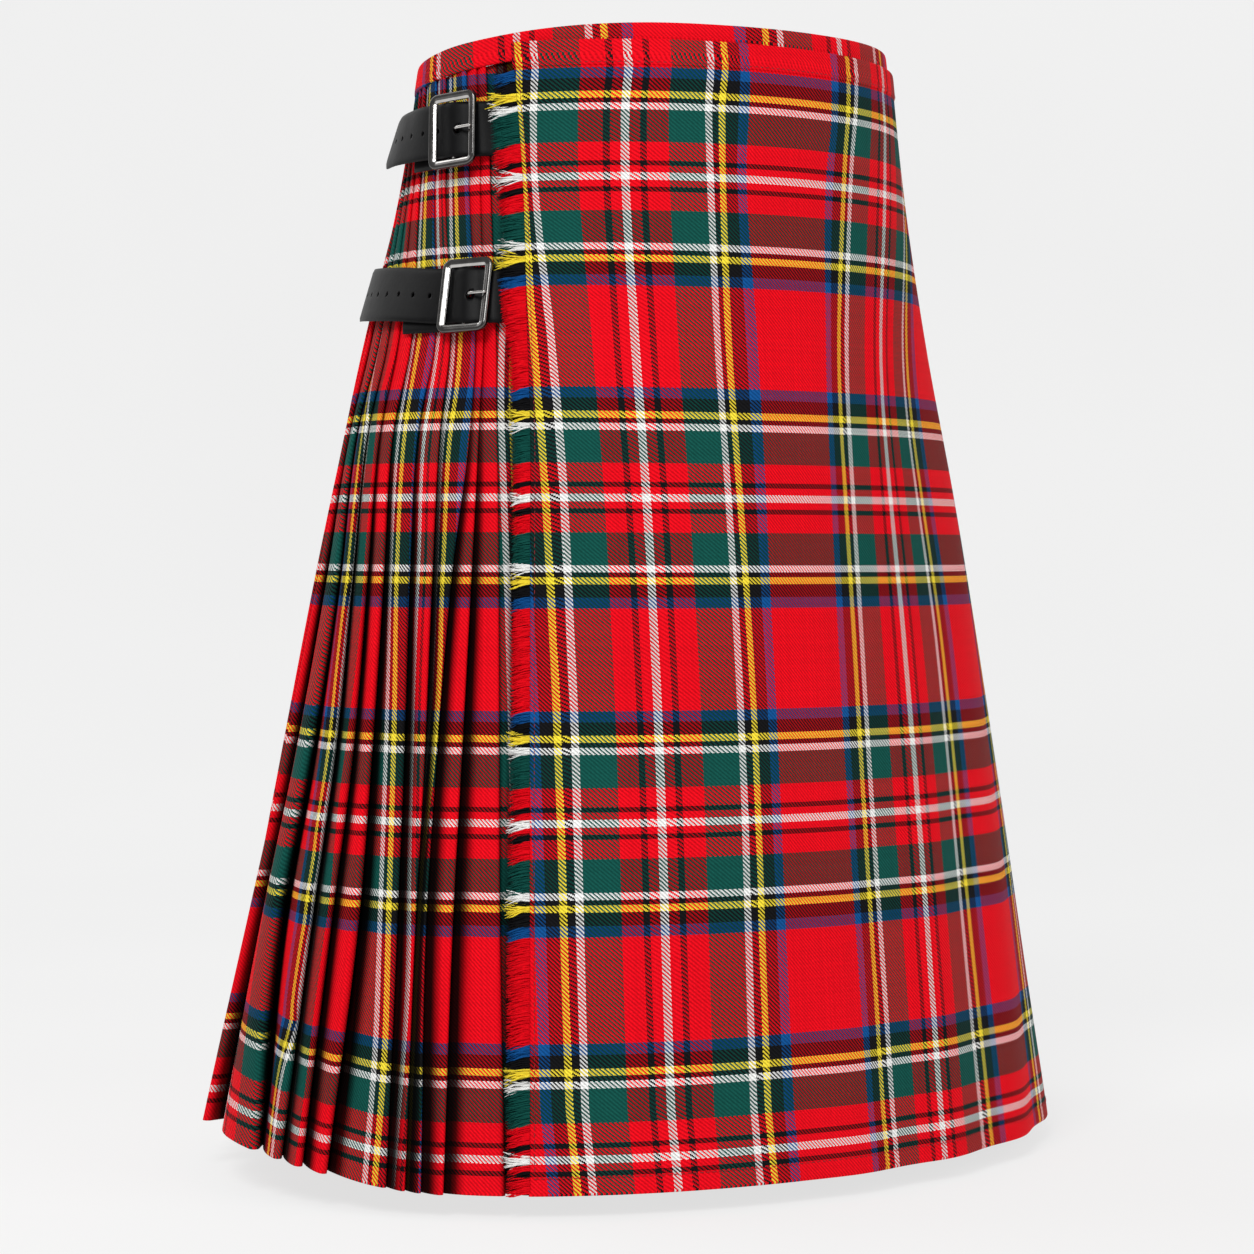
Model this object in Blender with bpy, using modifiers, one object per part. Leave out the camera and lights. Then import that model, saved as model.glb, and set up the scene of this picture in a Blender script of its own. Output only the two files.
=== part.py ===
"""Scottish kilt, worn form with no wearer: aprons, knife pleats, bands, fringe, straps and buckles.

Frame: +Z up, metres, front of the kilt toward -Y, wearer's right toward -X. The origin is the middle of
the waist at the height of the upper strap, where a wearer holds the kilt up.

Every cloth point is given by an arc, a height and a lift. The arc runs along the kilt's outline from the
centre front toward the wearer's right, round the back and on to the wearer's left. The lift is the
distance out of the outline. What lies on a panel takes the same arcs and heights, with more lift.
"""
from collections import namedtuple
from functools import lru_cache
from math import cos, pi, radians, sin, sqrt

import bmesh
import bpy
import numpy as np
from mathutils import Matrix, Vector

# ---------------------------------------------------------------- driving sizes, metres
GAP = 0.0003
BAND_GAP = 0.0008
CLOTH = 0.0012
APRON_CLOTH = 0.0014
HEM_Z = -0.5600
APRON_BAND_BOTTOM = 0.0243
APRON_BAND_TOP = 0.0383
INNER_BAND_HEIGHT = 0.0150
BAND_CLOTH = 0.0024
BAND_LIFT = 0.0007

# The kilt's outline is an ellipse at each height.
SECTIONS = (
    # height, half width, half depth, centre y
    (0.052, 0.1415, 0.1195, -0.0055),
    (-0.035, 0.1517, 0.1330, -0.002),
    (-0.120, 0.1763, 0.1385, 0.001),
    (-0.205, 0.1996, 0.1465, 0.000),
    (-0.373, 0.2340, 0.1705, 0.003),
    (-0.565, 0.2713, 0.2045, 0.011),
)

# The inner band's top edge, by share of the way round from the centre front.
INNER_BAND_TOPS = (
    (-0.25, 0.0480),
    (-0.11, 0.0492),
    (0.00, 0.0482),
    (0.06, 0.0479),
    (0.12, 0.0476),
    (0.16, 0.0464),
    (0.20, 0.0442),
    (0.255, 0.0400),
    (0.30, 0.0370),
    (0.34, 0.0358),
    (0.42, 0.0372),
    (0.55, 0.0415),
    (0.70, 0.0455),
    (0.85, 0.0480),
)

# The pleats' hem rises from the wearer's right hip, and comes down again before the left edge.
HEM_RISE = 0.0145
HEM_RISE_START = 0.245
HEM_RISE_RUN = 0.165
HEM_FALL_RUN = 0.300

# Free edges of the over apron, as arcs to the wearer's right and left of the centre front.
APRON_EDGES = (
    # height, right edge, left edge
    (0.052, 0.1745, 0.1750),
    (-0.155, 0.1755, 0.1800),
    (-0.240, 0.1835, 0.1880),
    (-0.411, 0.2000, 0.2060),
    (-0.565, 0.2150, 0.2230),
)

# Pleat edges on the wearer's right side, as arcs. The first lies beside the fringe.
FOLD_HEIGHTS = (-0.038, -0.127, -0.163, -0.242, -0.350, -0.411, -0.560)
RIGHT_FOLDS = (
    # waist, hip, seat, thigh, middle, low, hem
    (0.1945, 0.1915, 0.1940, 0.2000, 0.2095, 0.2150, 0.2265),
    (0.2010, 0.1990, 0.2035, 0.2145, 0.2300, 0.2390, 0.2585),
    (0.2085, 0.2035, 0.2080, 0.2250, 0.2435, 0.2530, 0.2700),
    (0.2270, 0.2190, 0.2260, 0.2365, 0.2500, 0.2590, 0.2785),
    (0.2375, 0.2295, 0.2400, 0.2505, 0.2620, 0.2695, 0.2890),
    (0.2545, 0.2480, 0.2590, 0.2685, 0.2834, 0.2930, 0.3240),
    (0.2640, 0.2600, 0.2710, 0.2810, 0.2975, 0.3110, 0.3400),
    (0.2740, 0.2720, 0.2850, 0.2950, 0.3120, 0.3260, 0.3560),
    (0.2860, 0.2850, 0.3020, 0.3110, 0.3385, 0.3590, 0.3770),
    (0.3000, 0.3050, 0.3230, 0.3390, 0.3800, 0.4080, 0.4680),
)
BACK_FOLD_COUNT = 26
BACK_FOLD_DRIFT = 0.0045

# How far a pleat stands off the layer beneath it, and how far its edge overhangs the groove.
PLEAT_RELIEF = (
    # height, depth, overhang
    (0.052, 0.0024, 0.0032),
    (-0.110, 0.0030, 0.0042),
    (-0.170, 0.0042, 0.0050),
    (-0.240, 0.0062, 0.0060),
    (-0.350, 0.0100, 0.0075),
    (-0.565, 0.0150, 0.0090),
)
FIRST_PLEAT_DEPTH = 0.6
WALL_END = 0.009

# A pleat's folded edge, in thicknesses of the cloth, and the share of its climb that a face has made at
# its middle.
EDGE_SETBACK = 0.5
EDGE_TURN = 0.8
GROOVE_WIDTH = 0.4
INNER_GAP = 0.15
FACE_CLIMB = 0.60

# All cloth panels have the same rows, so that neighbours stay parallel. The tops of the pleats and of
# the under apron follow the inner band, on the outline of SEAM_Z.
SEAM_Z = 0.030
CLOTH_ROWS = (-0.010, -0.035, -0.070, -0.115, -0.165, -0.225, -0.300, -0.385, -0.470, HEM_Z)
APRON_ROWS = (APRON_BAND_BOTTOM - BAND_GAP,) + CLOTH_ROWS

APRON_FOLD_HEIGHT = 0.0034
APRON_FOLD_PITCH = 0.0125

# What is under the over apron's edges lies lower, and comes back to the outline over TUCK_RUN.
TUCK = 0.0030
TUCK_RUN = 0.045
UNDER_APRON_LIFT = -0.0047
UNDER_APRON_DIP_RUN = 0.022
UNDER_APRON_LEFT = ((0.052, 0.150), (-0.565, 0.188))

FRINGE_LOCKS = 120
FRINGE_LENGTH = 0.0115
FRINGE_STRIP_WIDTH = 0.0015
FRINGE_STRIP_LIFTS = (-0.0003, -0.0012)
LOCK_SHARE = 0.68
LOCK_COURSE = (
    # share of length, lift, share of the lock's height, thickness, fall
    (0.45, 0.0004, 0.80, 0.0009, 0.0006),
    (1.00, 0.0014, 0.52, 0.0006, 0.0024),
)

STRAP_WIDTH = 0.030
STRAP_LEATHER = 0.0015
STRAP_HOLE_RADIUS = 0.0013
PRONG_HOLE_RADIUS = 0.0024
STRAP_HOLE_PITCH = 0.0125
FIRST_HOLE = 0.0112
PRONG_HOLE = -0.0034
STRAP_FLARE_RUN = 0.040
STRAP_SLOPE_RUN = 0.050
STRAP_END_STEPS = (0.35, 0.62, 0.82, 0.96)

# The strap's under side: behind the apron by arc, then by its distance from the buckle's centre.
STRAP_HIDDEN_COURSE = (
    # arc, lift
    (0.1690, -0.00350),
    (0.1775, -0.00350),
    (0.1825, -0.00215),
)
STRAP_COURSE = (
    # distance, lift, share of the buckle's rise
    (-0.01620, 0.00120, 0.00),
    (-0.01400, 0.00210, 0.05),
    (-0.01100, 0.00220, 0.16),
    (-0.00600, 0.00465, 0.60),
    (0.00000, 0.00610, 1.00),
    (0.00600, 0.00480, 1.30),
    (0.01100, 0.00310, 1.60),
    (0.01700, 0.00320, 1.75),
    (0.04500, 0.00320, 1.00),
)
STRAP_TAIL_LIFT = 0.0031
STRAP_TAIL_RISE = 0.8

TAB_LEATHER = 0.0013
TAB_WIDTH = 0.026
TAB_DROP = 0.0062
TAB_COURSE = (
    # distance from the buckle's centre, lift, share of the buckle's rise
    (-0.0020, 0.00145, 1.0),
    (0.0080, 0.00135, 0.6),
    (0.0180, 0.00130, 0.0),
    (0.0460, 0.00125, 0.0),
)

BUCKLE_WIDTH = 0.0305
BUCKLE_HEIGHT = 0.0415
BUCKLE_BAR = 0.0036
BUCKLE_THICK = 0.0032
BUCKLE_EDGE = 0.0006
BUCKLE_CORNER = 0.0055
BUCKLE_LIFT = 0.0063
CENTRE_BAR_RADIUS = 0.0009
CENTRE_BAR_DROP = 0.0017
PRONG_RADIUS = 0.0009
PRONG_HEEL = (
    # distance from the centre bar, height over the middle of the frame
    (0.0024, -0.0010),
    (0.0028, 0.0006),
    (0.0036, 0.0020),
    (0.0056, 0.0028),
)
PRONG_SHOULDER = 0.0100
PRONG_TIP = 0.0012

# Each fastening: arc and height of its buckle, degrees that the buckle leans off the cloth and turns in its
# plane, how far the strap's lower edge stands off at the tail, the tail's slope, the arc of its end, and
# the holes in it.
Fastening = namedtuple("Fastening", "name arc height lean turn flare slope tail_end holes")
FASTENINGS = (
    Fastening("upper", 0.2100, -0.0075, 10.0, 6.0, 0.0050, 0.000, 0.290, 5),
    Fastening("lower", 0.2043, -0.0980, 0.0, 2.5, 0.0010, 0.060, 0.338, 8),
)

MATERIALS = {
    # name: colour, roughness, metallic
    "tartan_cloth": ((0.62, 0.02, 0.03, 1.0), 0.85, 0.0),
    "fringe_yarn": ((0.55, 0.02, 0.03, 1.0), 0.90, 0.0),
    "black_leather": ((0.015, 0.015, 0.016, 1.0), 0.42, 0.0),
    "buckle_metal": ((0.62, 0.61, 0.60, 1.0), 0.20, 1.0),
}


# ---------------------------------------------------------------- scene helpers
def clear_scene():
    for old in list(bpy.data.objects):
        bpy.data.objects.remove(old, do_unlink=True)


def new_collection(name):
    collection = bpy.data.collections.new(name)
    bpy.context.scene.collection.children.link(collection)
    return collection


def material(name):
    found = bpy.data.materials.get(name)
    if found:
        return found
    colour, roughness, metallic = MATERIALS[name]
    made = bpy.data.materials.new(name)
    made.use_nodes = True
    shader = made.node_tree.nodes["Principled BSDF"]
    shader.inputs["Base Color"].default_value = colour
    shader.inputs["Roughness"].default_value = roughness
    shader.inputs["Metallic"].default_value = metallic
    made.diffuse_color = colour
    return made


def add_object(name, data, material_name, collection):
    made = bpy.data.objects.new(name, data)
    collection.objects.link(made)
    data.materials.append(material(material_name))
    return made


def mesh_from(name, points, faces):
    mesh = bpy.data.meshes.new(name)
    mesh.from_pydata([tuple(p) for p in points], [], faces)
    mesh.validate()
    return mesh


def face_out(mesh):
    work = bmesh.new()
    work.from_mesh(mesh)
    bmesh.ops.recalc_face_normals(work, faces=work.faces)
    work.to_mesh(mesh)
    work.free()


# ---------------------------------------------------------------- the outline
def eased(x, table, column):
    """A column of a table, eased between its rows by cubic curves. Heights run down the table."""
    rows = sorted(table, key=lambda row: row[0])
    xs = np.array([row[0] for row in rows])
    ys = np.array([row[column] for row in rows])
    x = min(max(x, xs[0]), xs[-1])
    slopes = np.gradient(ys, xs)
    i = min(max(int(np.searchsorted(xs, x)) - 1, 0), len(xs) - 2)
    step = xs[i + 1] - xs[i]
    t = (x - xs[i]) / step
    from_start = (1 + 2 * t) * (1 - t) ** 2 * ys[i] + t * (1 - t) ** 2 * step * slopes[i]
    from_end = t * t * (3 - 2 * t) * ys[i + 1] + t * t * (t - 1) * step * slopes[i + 1]
    return float(from_start + from_end)


def smooth_step(x):
    x = min(max(x, 0.0), 1.0)
    return x * x * (3 - 2 * x)


@lru_cache(maxsize=None)
def outline_table(z):
    """Angles and arcs round the ellipse at a height, over two turns."""
    half_width, half_depth, centre_y = (eased(z, SECTIONS, column) for column in (1, 2, 3))
    angles = np.linspace(-2 * pi, 2 * pi, 1441)
    x = -half_width * np.sin(angles)
    y = centre_y - half_depth * np.cos(angles)
    arcs = np.concatenate([[0.0], np.cumsum(np.hypot(np.diff(x), np.diff(y)))])
    arcs -= np.interp(0.0, angles, arcs)
    return half_width, half_depth, centre_y, angles, arcs


def perimeter(z):
    arcs = outline_table(z)[4]
    return float((arcs[-1] - arcs[0]) / 2)


def outline_frame(arc, z):
    """Point on the outline, and the direction out of it, in the level plane."""
    half_width, half_depth, centre_y, angles, arcs = outline_table(z)
    angle = float(np.interp(arc, arcs, angles))
    point = Vector((-half_width * sin(angle), centre_y - half_depth * cos(angle), z))
    out = Vector((-sin(angle) / half_width, -cos(angle) / half_depth, 0.0)).normalized()
    return point, out


def cloth_point(arc, z, lift):
    point, out = outline_frame(arc, z)
    return point + out * lift


def right_edge(z):
    return eased(z, APRON_EDGES, 1)


def left_edge(z):
    return eased(z, APRON_EDGES, 2)


def pleats_end(z):
    """Arc at which the pleats go under the over apron on the wearer's left."""
    return perimeter(z) - left_edge(z)


def tuck(arc, z):
    """Lift of the layer that the over apron covers at both of its edges."""
    near = min(arc - right_edge(z), pleats_end(z) - arc)
    return -TUCK * (1 - smooth_step(near / TUCK_RUN))


# ---------------------------------------------------------------- cloth panels
def panel(name, columns, rows, point_at, thickness, material_name, collection):
    """An open grid of points made into a wall. The grid is its outer face."""
    points = [point_at(i / (columns - 1), j) for j in range(rows) for i in range(columns)]
    faces = [
        (j * columns + i, j * columns + i + 1, (j + 1) * columns + i + 1, (j + 1) * columns + i)
        for j in range(rows - 1)
        for i in range(columns - 1)
    ]
    mesh = mesh_from(name, points, faces)
    made = add_object(name, mesh, material_name, collection)
    wall = made.modifiers.new("wall", "SOLIDIFY")
    wall.thickness = thickness
    wall.offset = -1.0
    wall.use_even_offset = True
    mesh.shade_smooth()
    return made


def between(start, end, share):
    return start + (end - start) * share


def apron_wave(arc, z):
    """Soft folds of the over apron, deeper toward the hem. They fade out at both edges."""
    fall = smooth_step((0.0 - z) / 0.50)
    side = smooth_step((0.10 - arc) / 0.14) * smooth_step((arc + left_edge(z)) / 0.05)
    return APRON_FOLD_HEIGHT * fall * side * (0.5 + 0.5 * sin(arc / APRON_FOLD_PITCH + 1.5 * z))


def build_over_apron(collection):
    def point_at(share, row):
        z = APRON_ROWS[row]
        arc = between(-left_edge(z), right_edge(z), share)
        return cloth_point(arc, z, apron_wave(arc, z))

    return panel("over_apron", 34, len(APRON_ROWS), point_at, APRON_CLOTH, "tartan_cloth", collection)


def inner_band_top(arc):
    """The inner band's top edge dips at the wearer's right."""
    return eased(arc / perimeter(APRON_BAND_BOTTOM), INNER_BAND_TOPS, 1)


def cloth_top(arc):
    """Height at which the pleats and the under apron meet the inner band."""
    return inner_band_top(arc) - INNER_BAND_HEIGHT - BAND_GAP


def under_lift(arc, z):
    """The under apron lies behind the over apron and dips to the groove of the first pleat."""
    start = first_groove(z)
    dip = smooth_step((arc - start[0] + UNDER_APRON_DIP_RUN) / UNDER_APRON_DIP_RUN)
    return between(UNDER_APRON_LIFT, start[1] - GAP, dip)


def build_under_apron(collection):
    heights = (SEAM_Z,) + CLOTH_ROWS

    def point_at(share, row):
        z = heights[row]
        arc = between(-eased(z, UNDER_APRON_LEFT, 1), first_groove(z)[0] - GAP, share)
        height = cloth_top(arc) if row == 0 else z
        return cloth_point(arc, height, under_lift(arc, z))

    return panel("under_apron", 28, len(heights), point_at, CLOTH, "tartan_cloth", collection)


# ---------------------------------------------------------------- knife pleats
def fold_arcs(z):
    """Arcs of all pleat edges at a height, from the fringe round the back to the wearer's left."""
    arcs = []
    for fold in RIGHT_FOLDS:
        table = tuple(zip(FOLD_HEIGHTS, fold))
        arcs.append(eased(z, table, 1))
    last = arcs[-1]
    end = pleats_end(z) + 0.0005
    pitch = (end - last) / (BACK_FOLD_COUNT + 1)
    loose = smooth_step((-0.16 - z) / 0.36)
    for k in range(1, BACK_FOLD_COUNT + 1):
        drift = BACK_FOLD_DRIFT * loose * (sin(2.3 * k) + 0.6 * sin(0.9 * k + 1.0))
        arcs.append(last + pitch * k + drift * min(1.0, (BACK_FOLD_COUNT + 1 - k) / 3))
    arcs.append(end)
    return arcs


def fold_relief(arcs, k, z):
    """Depth and overhang of fold k, less where its neighbours are close."""
    ahead = arcs[k] - arcs[k - 1] if k else arcs[1] - arcs[0]
    behind = arcs[k + 1] - arcs[k] if k + 1 < len(arcs) else ahead
    narrow = min(ahead, behind)
    depth = min(eased(z, PLEAT_RELIEF, 1), 0.55 * narrow + 0.0008)
    overhang = min(eased(z, PLEAT_RELIEF, 2), 0.40 * narrow)
    if k == 0:
        depth = max(FIRST_PLEAT_DEPTH * depth, 2 * CLOTH)
    return depth, overhang


def first_groove(z):
    """Arc and lift of the groove beside the fringe, where the under apron begins."""
    arcs = fold_arcs(z)
    depth, overhang = fold_relief(arcs, 0, z)
    return arcs[0] + overhang, tuck(arcs[0], z) - depth


def fold_inside(edge, groove, middle, groove_before):
    """Inner points of one fold: where the face meets the return wall, and where that wall ends.

    edge and groove are the ends of the return wall's outer side. middle and groove_before are the inner
    points of the face behind the edge.
    """
    run = groove - edge
    side = Vector((-run.y, run.x)).normalized() * CLOTH
    wall_slope = run.y / run.x
    top_lift = edge.y + (EDGE_TURN - 1.0) * CLOTH
    face_slope = (middle.y - top_lift) / (middle.x - edge.x)
    wall_at_edge = edge.y + side.y - side.x * wall_slope
    end = groove + side
    meet = (wall_at_edge - top_lift) / max(face_slope - wall_slope, 1e-6)
    meet = min(meet, 0.9 * (end.x - edge.x))
    pocket = Vector((edge.x + meet, top_lift + face_slope * meet))
    if end.x < middle.x:
        face_lift = top_lift + face_slope * (end.x - edge.x)
    else:
        share = (end.x - middle.x) / (groove_before.x - middle.x)
        face_lift = between(middle.y, groove_before.y, share)
    end.y = min(end.y, face_lift - INNER_GAP * CLOTH)
    return pocket, end


def pleat_section(z):
    """Outer and inner points of the pleated wall at a height, each as (arc, lift)."""
    arcs = fold_arcs(z)
    last = len(arcs) - 1
    flat = -TUCK - CLOTH / 2
    down = Vector((0.0, -CLOTH))
    outer = [Vector((arcs[last] + WALL_END, flat)), Vector((arcs[last] + 2 * CLOTH, flat))]
    inner = [point + down for point in outer]
    for k in range(last - 1, -1, -1):
        depth, overhang = fold_relief(arcs, k, z)
        top = tuck(arcs[k], z)
        before = outer[-1]
        middle = Vector(((before.x + arcs[k]) / 2, between(before.y, top, FACE_CLIMB)))
        edge = Vector((arcs[k], top - EDGE_TURN * CLOTH))
        groove = Vector((arcs[k] + overhang, top - depth))
        pocket, end = fold_inside(edge, groove, middle + down, before + down)
        outer += [middle, Vector((arcs[k] + EDGE_SETBACK * CLOTH, top)), edge, groove]
        if k:
            turn = groove + down + Vector((GROOVE_WIDTH * CLOTH, 0.0))
            inner += [middle + down, pocket, end, turn]
        else:
            inner += [middle + down, pocket, pocket.lerp(end, 0.5), end]
    return outer, inner


def pleat_height(arc, z):
    """Height of a row of the pleats: the first and last rows are the cloth's edges."""
    if z == SEAM_Z:
        return cloth_top(arc)
    if z == HEM_Z:
        near = smooth_step((arc - HEM_RISE_START) / HEM_RISE_RUN)
        return z + HEM_RISE * near * smooth_step((pleats_end(z) - arc) / HEM_FALL_RUN)
    return z


def build_pleated_back(collection):
    heights = (SEAM_Z,) + CLOTH_ROWS
    points = []
    for z in heights:
        for side in pleat_section(z):
            for arc, lift in side:
                points.append(cloth_point(arc, pleat_height(arc, z), lift))
    across = len(points) // (2 * len(heights))
    ring = 2 * across

    def outer(i, row):
        return row * ring + i

    def inner(i, row):
        return row * ring + across + i

    # Both sides of the wall are cut along the same diagonals, so that they stay parallel where it twists.
    faces = []
    for row in range(len(heights) - 1):
        for i in range(across - 1):
            for at in (outer, inner):
                faces.append((at(i, row), at(i + 1, row), at(i + 1, row + 1)))
                faces.append((at(i, row), at(i + 1, row + 1), at(i, row + 1)))
        for i, turned in ((0, True), (across - 1, False)):
            side = (outer(i, row), inner(i, row), inner(i, row + 1), outer(i, row + 1))
            faces.append(tuple(reversed(side)) if turned else side)
    bottom = len(heights) - 1
    for i in range(across - 1):
        faces.append((outer(i + 1, 0), outer(i, 0), inner(i, 0), inner(i + 1, 0)))
        faces.append((outer(i, bottom), outer(i + 1, bottom), inner(i + 1, bottom), inner(i, bottom)))
    mesh = mesh_from("pleated_back", points, faces)
    face_out(mesh)
    return add_object("pleated_back", mesh, "tartan_cloth", collection)


# ---------------------------------------------------------------- bands
def build_apron_band(collection):
    heights = (APRON_BAND_TOP, APRON_BAND_BOTTOM)

    def point_at(share, row):
        z = heights[row]
        arc = between(-left_edge(z), right_edge(z), share)
        return cloth_point(arc, z, BAND_LIFT)

    return panel("apron_band", 30, 2, point_at, BAND_CLOTH, "tartan_cloth", collection)


def build_inner_band(collection):
    z = (APRON_BAND_TOP + APRON_BAND_BOTTOM) / 2
    start = -eased(z, UNDER_APRON_LEFT, 1)
    end = pleats_end(z) + WALL_END

    def point_at(share, row):
        arc = between(start, end, share)
        height = inner_band_top(arc) - row * INNER_BAND_HEIGHT
        return cloth_point(arc, height, tuck(arc, z) + BAND_LIFT)

    return panel("inner_band", 72, 2, point_at, BAND_CLOTH, "tartan_cloth", collection)


# ---------------------------------------------------------------- fringe
def fringe_length(z, index):
    """Locks differ a little, and are short where a strap comes out from under them."""
    length = FRINGE_LENGTH * (1 + 0.10 * sin(2.9 * index) + 0.06 * sin(1.1 * index))
    for fastening in FASTENINGS:
        beside = abs(z - fastening.height) / (STRAP_WIDTH / 2 + 0.006)
        length *= between(0.62, 1.0, smooth_step((beside - 0.85) / 0.3))
    return length


def beside_apron(beyond, z, lift):
    """Point past the over apron's right edge, on the straight lines between the apron's own rows."""
    below = next(k for k in range(1, len(APRON_ROWS)) if z >= APRON_ROWS[k])
    upper, lower = APRON_ROWS[below - 1:below + 1]
    ends = [cloth_point(right_edge(row) + beyond, row, lift) for row in (upper, lower)]
    return ends[0].lerp(ends[1], (upper - z) / (upper - lower))


def build_fringe(collection):
    top = APRON_BAND_BOTTOM - 0.0015
    bottom = HEM_Z + 0.003
    pitch = (top - bottom) / FRINGE_LOCKS
    lock_height = LOCK_SHARE * pitch
    points = []
    faces = []

    def add(beyond, z, lift):
        points.append(beside_apron(beyond, z, lift))
        return len(points) - 1

    def ring(z):
        high, low = FRINGE_STRIP_LIFTS
        end = GAP + FRINGE_STRIP_WIDTH
        return [add(beyond, z, lift) for beyond, lift in ((GAP, high), (GAP, low), (end, low), (end, high))]

    def lock(upper, lower, z, index):
        """A lock of yarn drawn out of the strip in three lengths, falling and tapering."""
        length = fringe_length(z, index)
        base = [upper[3], upper[2], lower[2], lower[3]]
        for share, lift, height, thick, fall in LOCK_COURSE:
            half = height * lock_height / 2
            beyond = GAP + FRINGE_STRIP_WIDTH + length * share
            middle = z - fall * (1 + 0.25 * sin(1.7 * index))
            tip = [
                add(beyond, middle + half, lift + thick / 2),
                add(beyond, middle + half, lift - thick / 2),
                add(beyond, middle - half, lift - thick / 2),
                add(beyond, middle - half, lift + thick / 2),
            ]
            for i in range(4):
                j = (i + 1) % 4
                faces.append((base[i], base[j], tip[j], tip[i]))
            base = tip
        faces.append(tuple(base))

    previous = ring(top)
    faces.append(tuple(previous))
    for index in range(FRINGE_LOCKS):
        cell_top = top - index * pitch
        for share, has_lock in ((LOCK_SHARE, True), (1.0, False)):
            current = ring(cell_top - share * pitch)
            for i in range(4):
                j = (i + 1) % 4
                if i == 2 and has_lock:
                    continue
                faces.append((previous[i], previous[j], current[j], current[i]))
            if has_lock:
                lock(previous, current, cell_top - lock_height / 2, index)
            previous = current
    faces.append(tuple(reversed(previous)))
    mesh = mesh_from("fringe", points, faces)
    face_out(mesh)
    return add_object("fringe", mesh, "fringe_yarn", collection)


# ---------------------------------------------------------------- straps, tabs and buckles
def buckle_rise(fastening):
    """Lift that the lean gives to the buckle's centre."""
    return BUCKLE_WIDTH / 2 * sin(radians(fastening.lean))


def course_from(fastening, course):
    """A course by distance from the buckle's centre, as rows of (arc, lift)."""
    rise = buckle_rise(fastening)
    return tuple((fastening.arc + distance, lift + rise * share) for distance, lift, share in course)


def strap_path(fastening):
    """Lift of the strap's under side along its arcs: out from behind the apron, under the frame's
    first bar, over the centre bar, under the second bar and away round the hip."""
    tail_lift = STRAP_TAIL_LIFT + STRAP_TAIL_RISE * buckle_rise(fastening)
    return STRAP_HIDDEN_COURSE + course_from(fastening, STRAP_COURSE) + ((fastening.tail_end, tail_lift),)


def strap_half_width(arc, tail_end):
    """Straight strap with a half-round end."""
    radius = STRAP_WIDTH / 2
    inside = max(0.0, radius - (tail_end - arc)) / radius
    return radius * sqrt(1 - inside * inside)


def strap_lift(fastening, arc, across):
    """across runs from 1 at the upper edge to -1 at the lower edge."""
    lift = eased(arc, strap_path(fastening), 1)
    start = fastening.arc + BUCKLE_WIDTH / 2
    flare = fastening.flare * smooth_step((arc - start) / STRAP_FLARE_RUN)
    return lift + flare * (0.5 - 0.5 * across)


def strap_height(fastening, arc):
    """The strap runs level through its buckle and slopes up along the tail."""
    beyond = arc - fastening.arc
    return fastening.height + fastening.slope * beyond * smooth_step(beyond / STRAP_SLOPE_RUN)


def strap_point(fastening, arc, across, extra_lift):
    z = strap_height(fastening, arc) + across * strap_half_width(arc, fastening.tail_end)
    return cloth_point(arc, z, strap_lift(fastening, arc, across) + extra_lift)


def strap_arcs(fastening):
    """Columns of the strap: close at the buckle and at its round end, wide along the tail."""
    centre = fastening.arc
    tail_end = fastening.tail_end
    radius = STRAP_WIDTH / 2
    arcs = list(np.linspace(STRAP_HIDDEN_COURSE[0][0], centre - 0.022, 7))
    arcs += list(np.linspace(centre - 0.018, centre + 0.022, 15))
    arcs += list(np.linspace(centre + 0.028, tail_end - radius, 12))
    arcs += [tail_end - radius * (1 - step) for step in STRAP_END_STEPS]
    return arcs


def hole_cutter(fastening, cutters):
    """Short rods through the strap: one for the prong, and a row along the tail."""
    first = fastening.arc + FIRST_HOLE
    places = [(fastening.arc + PRONG_HOLE, PRONG_HOLE_RADIUS)]
    places += [(first + STRAP_HOLE_PITCH * k, STRAP_HOLE_RADIUS) for k in range(fastening.holes)]
    work = bmesh.new()
    for arc, radius in places:
        out = outline_frame(arc, strap_height(fastening, arc))[1]
        place = strap_point(fastening, arc, 0.0, STRAP_LEATHER / 2)
        turn = out.to_track_quat("Z", "Y").to_matrix().to_4x4()
        bmesh.ops.create_cone(
            work, cap_ends=True, segments=10, radius1=radius, radius2=radius,
            depth=5 * STRAP_LEATHER, matrix=Matrix.Translation(place) @ turn,
        )
    mesh = bpy.data.meshes.new("holes_" + fastening.name)
    work.to_mesh(mesh)
    work.free()
    cutter = bpy.data.objects.new("holes_" + fastening.name, mesh)
    cutters.objects.link(cutter)
    cutter.hide_render = True
    cutter.display_type = "WIRE"
    return cutter


def build_strap(fastening, collection, cutters):
    arcs = strap_arcs(fastening)
    across = (1.0, 0.0, -1.0)

    def point_at(share, row):
        arc = arcs[round(share * (len(arcs) - 1))]
        return strap_point(fastening, arc, across[row], STRAP_LEATHER)

    strap = panel(
        "strap_" + fastening.name, len(arcs), len(across), point_at,
        STRAP_LEATHER, "black_leather", collection,
    )
    holes = strap.modifiers.new("holes", "BOOLEAN")
    holes.operation = "DIFFERENCE"
    holes.object = hole_cutter(fastening, cutters)
    return strap


def build_tab(fastening, collection):
    """Leather chape: it comes from under the centre bar and is sewn to the pleats under the tail."""
    path = course_from(fastening, TAB_COURSE)
    middle = fastening.height - TAB_DROP

    def point_at(share, row):
        arc = between(path[0][0], path[-1][0], share)
        z = middle + TAB_WIDTH * (0.5 - 0.5 * row)
        return cloth_point(arc, z, eased(arc, path, 1) + TAB_LEATHER)

    return panel("tab_" + fastening.name, 14, 3, point_at, TAB_LEATHER, "black_leather", collection)


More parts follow.
